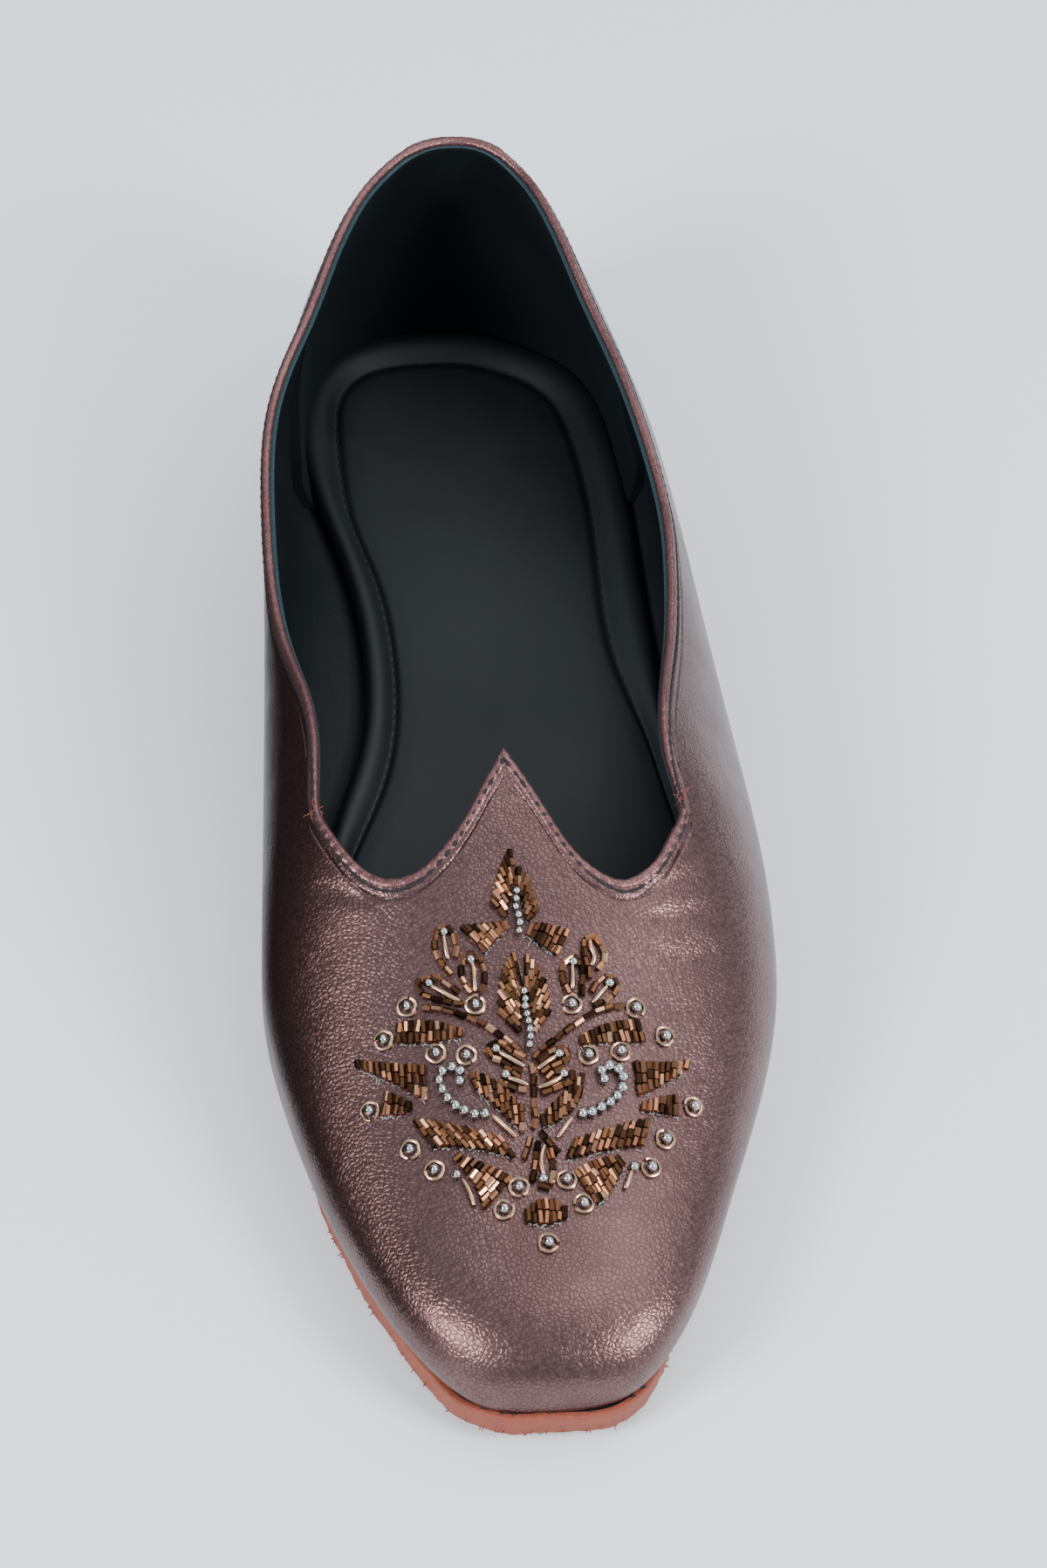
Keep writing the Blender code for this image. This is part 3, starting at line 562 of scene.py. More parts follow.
def ramp(tree: Tree, factor: Socket, stops: Sequence[tuple[float, str]]) -> Socket:
    """A colour ramp's output, from positions and hex colours."""
    made = add(tree, "ShaderNodeValToRGB", {"Fac": factor})
    band = made.color_ramp
    while len(band.elements) < len(stops):
        band.elements.new(0.5)
    for element, (position, colour) in zip(band.elements, stops):
        element.position = position
        element.color = linear(colour)
    return made.outputs["Color"]


@dataclass(frozen=True)
class Finish:
    """A finish of one shader: its own settings, and a pattern that each kind adds."""

    name: str
    colour: str
    roughness: float = 0.5
    metallic: float = 0.0
    sheen: float = 0.0
    sheen_colour: str = "#ffffff"
    ior: float = 1.5

    def build(self) -> bpy.types.Material:
        """Makes the material with its shader and pattern."""
        material = bpy.data.materials.new(self.name)
        material.use_nodes = True
        material.diffuse_color = linear(self.colour)
        tree = material.node_tree
        shader = tree.nodes["Principled BSDF"]
        shader.inputs["Base Color"].default_value = linear(self.colour)
        shader.inputs["Roughness"].default_value = self.roughness
        shader.inputs["Metallic"].default_value = self.metallic
        shader.inputs["Sheen Weight"].default_value = self.sheen
        shader.inputs["Sheen Tint"].default_value = linear(self.sheen_colour)
        if not self.metallic:
            shader.inputs["IOR"].default_value = self.ior
        place = add(tree, "ShaderNodeTexCoord").outputs["Object"]
        self.pattern(tree, shader, place)
        return material

    def pattern(self, tree: Tree, shader: Node, place: Socket) -> None:
        """Adds nothing here; each kind of finish has its own.

        Args:
            tree: The material's nodes.
            shader: The surface that the pattern feeds.
            place: The point's own position on the piece.
        """


def noise(tree: Tree, place: Socket, size: float, detail: float = 3.0, rough: float = 0.55) -> Socket:
    """A noise whose patches are about `size` metres across: its factor output."""
    links = {"Vector": place, "Scale": 1 / size, "Detail": detail, "Roughness": rough}
    return add(tree, "ShaderNodeTexNoise", links).outputs["Fac"]


def mixed(tree: Tree, factor: Socket, first: Socket | str, second: Socket | str) -> Socket:
    """Two colours, each an output or a hex value, mixed by a factor: the result's output."""
    first, second = (linear(value) if isinstance(value, str) else value for value in (first, second))
    return add(tree, "ShaderNodeMix", {0: factor, 6: first, 7: second}, data_type="RGBA").outputs[2]


def ranged(
    tree: Tree, value: Socket, low: float, high: float, start: float = 0.3, end: float = 0.7
) -> Socket:
    """A value between start and end carried to low and high."""
    links = {"Value": value, "From Min": start, "From Max": end, "To Min": low, "To Max": high}
    return add(tree, "ShaderNodeMapRange", links, clamp=True).outputs["Result"]


def bumped(
    tree: Tree, height: Socket, depth: float, strength: float = 1.0, below: Socket | None = None
) -> Socket:
    """A bump of this depth in metres for a height from 0 to 1: its normal output."""
    links = {"Height": height, "Distance": depth, "Strength": strength}
    if below is not None:
        links["Normal"] = below
    return add(tree, "ShaderNodeBump", links).outputs["Normal"]


@dataclass(frozen=True)
class FoilLeather(Finish):
    """Goat leather with a metallic foil rolled on: a pebbled grain that glints at its tops, cloudy
    where the foil is thinner, and darkened in the cracks by painted shade. Goat's pebbles are 0.6 to 0.9 mm
    wide."""

    cloud: str = "#684e4c"
    # Painted shade: the colour that the grain's cracks are darkened towards
    crack_shade: str = "#241414"
    pebble: float = 0.78 * MM
    depth: float = 0.038 * MM
    warp_size: float = 1.1 * MM
    warp_reach: float = 0.35 * MM
    swell_size: float = 4.2 * MM
    swell_depth: float = 0.15 * MM
    pore_size: float = 0.4 * MM
    cloud_size: float = 16 * MM

    def pattern(self, tree: Tree, shader: Node, place: Socket) -> None:
        """Pebbles of a warped Voronoi, flat with narrow cracks between, on slow swells and clouds; the
        cracks get painted shade.
        """

        def vector(way: str, links: dict[Any, Any]) -> Socket:
            """The output of one step of vector arithmetic."""
            return add(tree, "ShaderNodeVectorMath", links, operation=way).outputs[0]

        links = {"Vector": place, "Scale": 1 / self.warp_size, "Detail": 2.0}
        warp = add(tree, "ShaderNodeTexNoise", links).outputs["Color"]
        shift = vector("SUBTRACT", {0: warp, 1: (0.5, 0.5, 0.5)})
        small = vector("SCALE", {0: shift, "Scale": self.warp_reach})
        moved = vector("ADD", {0: place, 1: small})
        links = {"Vector": moved, "Scale": 1 / self.pebble}
        cells = add(tree, "ShaderNodeTexVoronoi", links, feature="DISTANCE_TO_EDGE").outputs["Distance"]
        swell = bumped(tree, noise(tree, place, self.swell_size, 3.0), self.swell_depth, 0.9)
        fine = noise(tree, place, self.pore_size, 2.0)
        pits = bumped(tree, fine, self.depth * 0.12, 0.5, swell)
        grain = ranged(tree, cells, 0.0, 1.0, 0.0, 0.28)
        normal = bumped(tree, grain, self.depth, 0.9, pits)
        slow = noise(tree, place, self.cloud_size, 4.0, 0.6)
        colour = ranged(tree, slow, 0.0, 1.0, 0.35, 0.65)
        base = mixed(tree, colour, self.colour, self.cloud)
        # Painted shade: in the grain's cracks the base colour is pulled towards the dark crack colour
        dark = mixed(tree, ranged(tree, grain, 0.42, 0.0, 0.0, 0.6), base, self.crack_shade)
        tree.links.new(dark, shader.inputs["Base Color"])
        rough = ranged(tree, slow, self.roughness - 0.04, self.roughness + 0.06)
        tree.links.new(rough, shader.inputs["Roughness"])
        tree.links.new(normal, shader.inputs["Normal"])


@dataclass(frozen=True)
class SmoothLeather(Finish):
    """Dyed lining leather, finely creased and a little glossy where feet polish it."""

    grain: float = 0.9 * MM
    depth: float = 0.10 * MM
    gloss_size: float = 24 * MM
    second: str = "#101416"

    def pattern(self, tree: Tree, shader: Node, place: Socket) -> None:
        """Fine grain over slow clouds of gloss."""
        fine = noise(tree, place, self.grain, 4.0)
        slow = noise(tree, place, self.gloss_size, 3.0)
        colour = mixed(tree, ranged(tree, slow, 0, 1), self.colour, self.second)
        rough = ranged(tree, slow, self.roughness - 0.05, self.roughness + 0.07)
        tree.links.new(colour, shader.inputs["Base Color"])
        tree.links.new(rough, shader.inputs["Roughness"])
        tree.links.new(bumped(tree, fine, self.depth, 0.7), shader.inputs["Normal"])


@dataclass(frozen=True)
class RawEdge(Finish):
    """A cut leather edge: fibrous, dull, streaked along its layers."""

    streak: str = "#b5532f"
    size: float = 1.2 * MM
    depth: float = 0.25 * MM

    def pattern(self, tree: Tree, shader: Node, place: Socket) -> None:
        """Noise stretched along the layers, five times as long as it is high."""
        links = {"Vector": place, "Scale": (1.0, 1.0, 5.0)}
        flat = add(tree, "ShaderNodeMapping", links).outputs[0]
        fibre = noise(tree, flat, self.size, 5.0, 0.7)
        colour = mixed(tree, ranged(tree, fibre, 0, 1), self.colour, self.streak)
        tree.links.new(colour, shader.inputs["Base Color"])
        tree.links.new(bumped(tree, fibre, self.depth, 0.8), shader.inputs["Normal"])


@dataclass(frozen=True)
class Bead(Finish):
    """Glass cut beads with a metal lustre, each of its own shade."""

    bright: str = "#e2b08a"
    middle: str = "#9e6c50"
    dark: str = "#1e120b"

    def pattern(self, tree: Tree, shader: Node, place: Socket) -> None:
        """Shades from dark to bright by each bead's tint."""
        tint = add(tree, "ShaderNodeAttribute", attribute_name="tint").outputs["Fac"]
        stops = ((0.0, self.dark), (0.45, self.colour), (0.78, self.middle), (1.0, self.bright))
        rough = ranged(tree, tint, self.roughness + 0.1, self.roughness - 0.06, 0, 1)
        tree.links.new(ramp(tree, tint, stops), shader.inputs["Base Color"])
        tree.links.new(rough, shader.inputs["Roughness"])


@dataclass(frozen=True)
class Thread(Finish):
    """Spun thread: soft, with its twist as a fine bump."""

    fibre: float = 0.2 * MM
    depth: float = 0.08 * MM

    def pattern(self, tree: Tree, shader: Node, place: Socket) -> None:
        """A fine noise for fibres."""
        twist = bumped(tree, noise(tree, place, self.fibre), self.depth)
        tree.links.new(twist, shader.inputs["Normal"])


class Finishes:
    """All of the shoe's finishes, each built once."""

    def __init__(self) -> None:
        """Builds the materials."""
        self.foil = FoilLeather(
            "foil-coated goat leather", "#765a57", roughness=0.31, metallic=0.94,
        ).build()
        self.fold = FoilLeather(
            "folded foil leather", "#875f5d", roughness=0.38, metallic=0.8, cloud="#73504f",
            depth=0.035 * MM,
        ).build()
        self.lining = SmoothLeather("dyed lining leather", "#090f12", roughness=0.58, ior=1.30).build()
        self.raw_lining = RawEdge(
            "cut lining edge", "#142c33", roughness=0.8, streak="#28444b", size=0.6 * MM,
        ).build()
        self.suede = SmoothLeather(
            "navy suede", "#090f12", roughness=0.9, sheen=0.22, sheen_colour="#2b3b44", second="#060a0d",
            grain=0.5 * MM, depth=0.08 * MM, ior=1.25,
        ).build()
        self.insole = SmoothLeather(
            "calf sock leather", "#0d1112", roughness=0.52, depth=0.04 * MM, second="#131819", ior=1.40,
        ).build()
        self.sole = RawEdge("stained sole leather", "#7f3a28", roughness=0.62, streak="#984c35").build()
        self.bead = Bead("copper-lustre cut beads", "#764f35", roughness=0.19, metallic=0.92).build()
        self.silver = Finish("silvered seed beads", "#c3c3c1", roughness=0.13, metallic=1.0).build()
        self.gold = Finish("pale gold bullion wire", "#c9a486", roughness=0.25, metallic=1.0).build()
        self.stitch = Thread("dark purple thread", "#150a0f", roughness=0.7).build()
        self.cotton = Thread("grey cotton thread", "#9d9a98", roughness=0.8).build()
        self.wisp = Thread("rust-coloured thread", "#8a4a3c", roughness=0.8).build()


@dataclass
class Skin:
    """The last's skin as a closed fan of lines from the top edge to the feather line."""

    stations: int = 230
    rows: int = 66
    turn_rows: int = 9
    gather: float = 2.1
    hollow_reach: float = 5 * MM
    points: np.ndarray = field(init=False)
    normals: np.ndarray = field(init=False)
    top: np.ndarray = field(init=False)
    rise: np.ndarray = field(init=False)
    out: np.ndarray = field(init=False)

    def __post_init__(self) -> None:
        """Works out the lines, the top edge and the directions along it."""
        shares = np.linspace(0, 1, self.stations + 1)
        levels = np.linspace(0, 1, self.rows + 1) ** self.gather
        turns = np.linspace(0, 1, self.turn_rows + 1)
        inner = half_skin(INNER_TOPLINE, -1, shares, levels, turns)
        outer = half_skin(OUTER_TOPLINE, 1, shares[1:-1], levels, turns)[::-1]
        lines = np.concatenate([inner, outer])
        self.points = last_point(lines[..., 0], lines[..., 1])
        self.normals = grid_normals(self.points)
        self.top = self.points[:, 0].copy()
        self.out = self.normals[:, 0].copy()
        along = unit(np.roll(self.top, -1, axis=0) - np.roll(self.top, 1, axis=0))
        rise = unit(np.cross(self.out, along))
        upward = (rise * (self.points[:, 0] - self.points[:, 1])).sum(axis=-1, keepdims=True)
        self.rise = rise * np.sign(upward)

    def below_top(self, distance: float) -> np.ndarray:
        """The grid with its start moved straight down from the top edge, easing out down each line."""
        fade = np.exp(-((self.down() / self.hollow_reach) ** 2))
        return self.points - self.rise[:, None] * distance * fade[..., None]

    def down(self) -> np.ndarray:
        """Distance of each point from the top edge, down its own line."""
        steps = np.linalg.norm(np.diff(self.points, axis=1), axis=2)
        return np.concatenate([np.zeros((len(steps), 1)), np.cumsum(steps, axis=1)], axis=1)

    def along(self) -> np.ndarray:
        """Distance of each line round the top edge."""
        return lengths(self.top)

    def relief(self) -> np.ndarray:
        """How far the leather stands off its smooth form: -depth * (1 - t^2) * e^(-t^2) across each
        crease, with t the distance from it over its width, and a sewn groove along the edge."""
        from_heel = (PLACE[1] - self.points[..., 1]) / MM
        across = (self.points[..., 0] - PLACE[0]) / MM
        high = self.points[..., 2] > 22 * MM
        relief = np.zeros(from_heel.shape)
        for v0, u0, v1, u1, bow, width, depth in CREASES:
            ahead = np.array((v1 - v0, u1 - u0))
            reach = np.hypot(*ahead)
            share = ((from_heel - v0) * ahead[0] + (across - u0) * ahead[1]) / reach**2
            offset = ((from_heel - v0) * ahead[1] - (across - u0) * ahead[0]) / reach
            t = (offset - bow * 4 * share * (1 - share)) / width
            fade = eased(share / 0.35) * eased((1 - share) / 0.35)
            relief -= 1.5 * depth * (1 - t**2) * np.exp(-(t**2)) * fade * high
        down = self.down() / MM
        throat = eased((PLACE[1] - self.top[:, 1]) / LENGTH / 0.06 - 9.8)[:, None]
        gather = puckers(self.along()[:, None])
        relief -= (0.14 + 0.14 * throat) * np.exp(-(((down - SEAM / MM) / 0.42) ** 2))
        relief += (0.03 + 0.05 * throat) * gather * np.exp(-(((down - 1.2) / 0.9) ** 2))
        relief += 0.05 * throat * gather * np.exp(-(((down - 3.3) / 1.1) ** 2))
        return relief * MM

    def inward(self) -> np.ndarray:
        """The wall's own normals, level at the foot, so that its lower edge stands flat."""
        edge = self.points[:, -1, :2]
        foot = np.roll(edge, -1, axis=0) - np.roll(edge, 1, axis=0)
        flat = self.normals.copy()
        flat[..., 0] = -foot[:, None, 1]
        flat[..., 1] = foot[:, None, 0]
        flat[..., 2] = 0
        flat = unit(flat)
        agree = (flat * self.normals).sum(axis=-1, keepdims=True).mean(axis=1, keepdims=True)
        flat *= np.sign(agree)
        height = self.points[..., 2] - sole_top(PLACE[1] - self.points[..., 1])
        rounded = eased(height / (0.12 * INSTEP_RISE))[..., None]
        return unit(flat * (1 - rounded) + self.normals * rounded)


def shell(
    name: str, first: np.ndarray, second: np.ndarray, materials: Sequence[Any], closed: bool, rim: int = 0
) -> bpy.types.Object:
    """A closed shell between two grids of points.

    Args:
        name: The piece's name.
        first: The outer grid.
        second: The inner grid.
        materials: Its finishes.
        closed: Whether the lines go all the way round.
        rim: The finish of the rim at the start of the lines.

    Returns:
        The piece.
    """
    count = first.shape[0] * first.shape[1]
    a = np.arange(count).reshape(first.shape[:2])
    b = a + count
    if closed:
        a, b = ring_closed(a), ring_closed(b)
    top = np.stack([a[:-1, 0], b[:-1, 0], b[1:, 0], a[1:, 0]], axis=-1)
    foot = np.stack([b[:-1, -1], a[:-1, -1], a[1:, -1], b[1:, -1]], axis=-1)
    faces = [quads(a), quads(b)[:, ::-1], top, foot]
    if not closed:
        faces.append(np.stack([b[0, :-1], a[0, :-1], a[0, 1:], b[0, 1:]], axis=-1)[:, ::-1])
        faces.append(np.stack([b[-1, :-1], a[-1, :-1], a[-1, 1:], b[-1, 1:]], axis=-1))
    choice = np.concatenate([np.full(len(block), rim if block is top else 0) for block in faces])
    points = np.concatenate([first.reshape(-1, 3), second.reshape(-1, 3)])
    return make_piece(name, points, faces, materials, choice)


@dataclass
class Upper:
    """The foil leather upper with its lining and the folded top edge."""

    skin: Skin
    finishes: Finishes
    leather: float = 1.25 * MM
    wall: float = 2.2 * MM
    fold_half: tuple[float, float] = (0.85 * MM, 0.92 * MM)
    fold_centre: tuple[float, float] = (-0.66 * MM, -0.90 * MM)
    lining_drop: float = 0.85 * MM
    leather_drop: float = 1.6 * MM
    fold_sides: int = 20
    fold_step: float = 0.42 * MM
    fold_square: float = 0.78
    strip_half: float = 9.2 * MM
    strip_swell: float = 0.22
    stitch_pitch: float = 2.05 * MM
    stitch_half: tuple[float, float] = (0.40 * MM, 0.33 * MM)
    # Radius of the continuous dark wire that paints the shade in the seam groove
    groove_shade_radius: float = 0.27 * MM
    thread_lift: float = 0.16 * MM
    tuft_share: float = 0.613
    tuft_side: float = 22 * MM
    tuft_count: int = 16
    tuft_radius: float = 0.055 * MM
    counter_stations: int = 121
    counter_reach: tuple[float, float] = (38.0, 63.0)
    counter_least: float = 0.28 * MM
    counter_gap: float = 0.02 * MM

    def build(self) -> None:
        """Builds the leather, the lining and both folded edges."""
        smooth = self.skin.below_top(self.leather_drop)
        inward = self.skin.inward()
        outer = smooth + self.skin.normals * self.skin.relief()[..., None]
        flesh = smooth - inward * self.leather
        leather = shell("upper_leather", outer, flesh, [self.finishes.foil], closed=True)
        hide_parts("upper")
        high = self.skin.below_top(self.lining_drop)
        coarse = np.r_[0:12, 12 : high.shape[1] - 1 : 3, high.shape[1] - 1]
        lining = shell(
            "upper_lining",
            (high - inward * (self.leather + 0.05 * MM))[:, coarse],
            (high - inward * self.wall)[:, coarse],
            [self.finishes.lining, self.finishes.raw_lining],
            closed=True,
            rim=1,
        )
        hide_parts("upper")
        count = len(self.skin.top)
        past = PLACE[1] - self.skin.top[:, 1] > CORNER * LENGTH
        first = int(np.argmax(past))
        last = count - 1 - int(np.argmax(past[::-1]))
        collar = np.arange(last, count + first + 1) % count
        throat = np.arange(first, last + 1)
        self.fold("collar_edge", collar, 0.04 * MM)
        self.fold("throat_edge", throat, 0.08 * MM)
        self.stitches()
        self.wisps()
        self.counter(high - inward * self.wall, inward)

    def fold(self, node: str, lines: np.ndarray, pucker: float) -> None:
        """One folded edge: a superellipse carried along the top edge.

        Args:
            node: The CAD node that it stands for.
            lines: Which lines of the skin it runs over.
            pucker: How far its little puckers stand out.
        """
        ends = lengths(self.skin.top[lines])
        places = spaced(self.skin.top[lines], np.linspace(0, 1, int(ends[-1] / self.fold_step)))
        tables = (self.skin.top, self.skin.out, self.skin.rise)
        route, out, rise = (read_at(table[lines], places) for table in tables)
        out, rise = rounded(out, 9), rounded(rise, 9)
        turn = np.linspace(0, FULL_TURN, self.fold_sides, endpoint=False)
        shape = np.stack([np.cos(turn), np.sin(turn)])
        shape = np.sign(shape) * np.abs(shape) ** self.fold_square
        behind = PLACE[1] - route[:, 1] < 0.10 * LENGTH
        strip = (np.abs(route[:, 0] - PLACE[0]) < self.strip_half) & behind
        gather = puckers(lengths(route)) * pucker / self.fold_half[0]
        swell = (1 + gather + self.strip_swell * strip)[:, None]
        side = self.fold_centre[0] + self.fold_half[0] * shape[0][None] * swell
        up = self.fold_centre[1] + self.fold_half[1] * shape[1][None] * (1 + 0.3 * (swell - 1))
        points = route[:, None] + unit(out)[:, None] * side[..., None] + unit(rise)[:, None] * up[..., None]
        numbers = np.arange(points.shape[0] * points.shape[1]).reshape(points.shape[:2])
        wrapped = np.concatenate([numbers, numbers[:, :1]], axis=1)
        faces = [quads(wrapped), numbers[:1, ::-1], numbers[-1:]]
        made = make_piece(node.replace("edge", "fold"), points, faces, [self.finishes.fold])
        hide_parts(node)

    def below(self, distance: float) -> tuple[np.ndarray, np.ndarray]:
        """A closed line on the leather at one distance below the top edge, and its outward directions."""
        down = self.skin.down()
        rows = np.array([np.interp(distance, line, np.arange(len(line))) for line in down])
        points = self.skin.points + self.skin.relief()[..., None] * self.skin.normals
        places = [read_at(line, np.array([row]))[0] for line, row in zip(points, rows)]
        outs = [read_at(line, np.array([row]))[0] for line, row in zip(self.skin.normals, rows)]
        return ring_closed(np.array(places)), ring_closed(unit(np.array(outs)))

    def stitches(self) -> None:
        """Lock stitches in the groove below the top edge, over a continuous dark wire that paints the
        groove's shade.
        """
        loop, outs = self.below(SEAM)
        count = int(lengths(loop)[-1] / self.stitch_pitch)
        at = spaced(loop, (np.arange(count) + 0.5) / count)
        before = spaced(loop, (np.arange(count) + 0.12) / count)
        after = spaced(loop, (np.arange(count) + 0.88) / count)
        middles = read_at(loop, at)
        along = read_at(loop, after) - read_at(loop, before)
        ups = unit(read_at(outs, at))
        across = np.tile(self.stitch_half, (count, 1))
        sizes = np.column_stack([np.linalg.norm(along, axis=1) / 2, across])
        stitches = repeated(ball_template(6, 8), middles + ups * self.thread_lift, along, ups, sizes)
        # Painted shade: a continuous dark wire along the groove stands for the groove's shade between the
        # stitches
        fine = spaced(loop, np.linspace(0, 1, 900))
        outward = unit(read_at(outs, fine))
        groove_shade = wire(read_at(loop, fine) + outward * self.thread_lift, outward, self.groove_shade_radius, 6)
        made = make_piece("edge_stitches_and_groove_shade", *joined([stitches, groove_shade]), [self.finishes.stitch])

    def wisps(self) -> None:
        """Tufts of frayed thread where the folds end in the throat's two corners."""
        rng = np.random.default_rng(21)
        parts = []
        from_heel = (PLACE[1] - self.skin.top[:, 1]) / LENGTH
        share = np.linspace(0, 1, 9)[:, None]
        for side in (-1, 1):
            past = (self.skin.top[:, 0] - PLACE[0]) * side < self.tuft_side
            k = int(np.argmin(np.abs(from_heel - self.tuft_share) + 9.0 * past))
            top, rise, out = self.skin.top[k], self.skin.rise[k], self.skin.out[k]
            for _ in range(self.tuft_count):
                start = top + rise * rng.uniform(-1.6, 0.1) * MM
                start = start + rng.normal(0, 0.45, 3) * MM
                way = rise * 0.5 - out * rng.uniform(-0.6, 1.0) + rng.normal(0, 0.75, 3)
                reach = rng.uniform(0.8, 2.3) * MM
                curl = rng.normal(0, 0.35, 3) * MM * np.sin(share * np.pi * rng.uniform(0.8, 2.0))
                line = start + unit(way) * reach * share + curl
                ups = np.tile(unit(np.cross(way, (0.3, 0.2, 1.0))), (9, 1))
                parts.append(wire(line, ups, self.tuft_radius, 5))
        made = make_piece("frayed_threads", *joined(parts), [self.finishes.wisp])

    def counter(self, inner: np.ndarray, inward: np.ndarray) -> None:
        """The padded suede counter round the inside of the heel, thickest at its foot.

        Args:
            inner: The lining's inner face.
            inward: Directions out of the wall.
        """
        down = self.skin.down()
        share = (down / down[:, -1:])[0]
        wide = np.linspace(-1, 1, self.counter_stations)
        middle = len(inner) // 2
        top, foot = self.counter_reach
        face = np.empty((self.counter_stations, len(share), 3))
        out = np.empty_like(face)
        for j, at in enumerate(share):
            places = middle + wide * (top + (foot - top) * at)
            face[:, j] = read_at(np.roll(inner[:, j], middle, axis=0), places)
            out[:, j] = read_at(np.roll(inward[:, j], middle, axis=0), places)
        along = PLACE[1] - face[..., 1]
        thick = self.counter_least + counter_foot(along) * eased((share - 0.30) / 0.62)[None]
        thick[:, 0:8] *= np.linspace(0.3, 1, 8)
        flat = face - unit(out) * self.counter_gap
        keep = np.r_[6 : flat.shape[1] : 2]
        if keep[-1] != flat.shape[1] - 1:
            keep = np.append(keep, flat.shape[1] - 1)
        made = shell(
            "heel_counter", (flat - unit(out) * thick[..., None])[:, keep], flat[:, keep],
            [self.finishes.suede], closed=False,
        )


def outline(rows: Rows, columns: tuple[int, int], count: int) -> np.ndarray:
    """A plan outline of rows, heel first and round the inner side."""
    row = rows.at(np.linspace(0, rows.end, count + 1))
    inner = np.stack([-row[:, columns[0]], -row[:, 0]], axis=1)
    outer = np.stack([row[:, columns[1]], -row[:, 0]], axis=1)[1:-1][::-1]
    return np.concatenate([inner, outer])


def feather_outline(count: int) -> np.ndarray:
    """The plan outline of the last's feather line, in the same order, in the last's own frame."""
    run = np.linspace(0, LAST.end, count + 1)
    loop = np.concatenate([last_point(run, -1)[:, :2], last_point(run, 1)[1:-1, :2][::-1]])
    return loop - PLACE[:2]


def moved_in(loop: np.ndarray, inset: np.ndarray | float, toe_inset: float = 0.0) -> np.ndarray:
    """A plan outline moved inwards, and a little more round the toe."""
    ahead = np.roll(loop, -1, axis=0) - np.roll(loop, 1, axis=0)
    inwards = np.stack([-ahead[:, 1], ahead[:, 0]], axis=1) / np.linalg.norm(ahead, axis=1)[:, None]
    return loop + inwards * (inset + toe_inset * eased((-loop[:, 1:] / LENGTH - 0.80) / 0.17))


def ringed(
    name: str,
    rings: np.ndarray,
    fillings: tuple[Callable[[np.ndarray], np.ndarray], Callable[[np.ndarray], np.ndarray]],
    materials: Sequence[Any],
    dark: bool = False,
) -> bpy.types.Object:
    """A closed pad from rings of equal count, with both ends filled across.

    Args:
        name: The piece's name.
        rings: Points of each ring, the top's innermost first and the bottom's last.
        fillings: Heights of the two fillings, as functions of the distance from the heel.
        materials: Its finishes.
        dark: Whether the filling of the top takes the second finish.

    Returns:
        The piece.
    """
    levels, count = rings.shape[:2]
    half = count // 2
    numbers = np.arange(levels * count).reshape(levels, count)
    wrapped = np.concatenate([numbers, numbers[:, :1]], axis=1)
    bands = quads(wrapped)
    points = [rings.reshape(-1, 3)]
    faces = [bands]
    total = levels * count
    shares = np.linspace(0, 1, 15)[None, :, None]
    for ring, height in ((rings[0], fillings[0]), (rings[-1], fillings[1])):
        a = ring[: half + 1]
        b = np.concatenate([ring[:1], ring[half:][::-1]])
        between = a[:, None] * (1 - shares) + b[:, None] * shares
        inside = height(-between[..., 1])
        edge = 1 - np.abs(2 * shares[..., 0] - 1) ** 8
        between[..., 2] = between[..., 2] * (1 - edge) + inside * edge
        grid = np.arange(between.shape[0] * between.shape[1]).reshape(between.shape[:2]) + total
        total += grid.size
        points.append(between.reshape(-1, 3))
        faces.append(quads(grid) if ring is not rings[0] else quads(grid)[:, ::-1])
    choice = np.concatenate([np.full(len(block), int(dark and block is faces[1])) for block in faces])
    return make_piece(name, np.concatenate(points) + PLACE, faces, materials, choice, merge=True)


def on_level(loop: np.ndarray, height: Callable[[np.ndarray], np.ndarray]) -> np.ndarray:
    """A plan outline raised to a height that is a function of the distance from the heel."""
    return np.column_stack([loop, height(-loop[:, 1])])


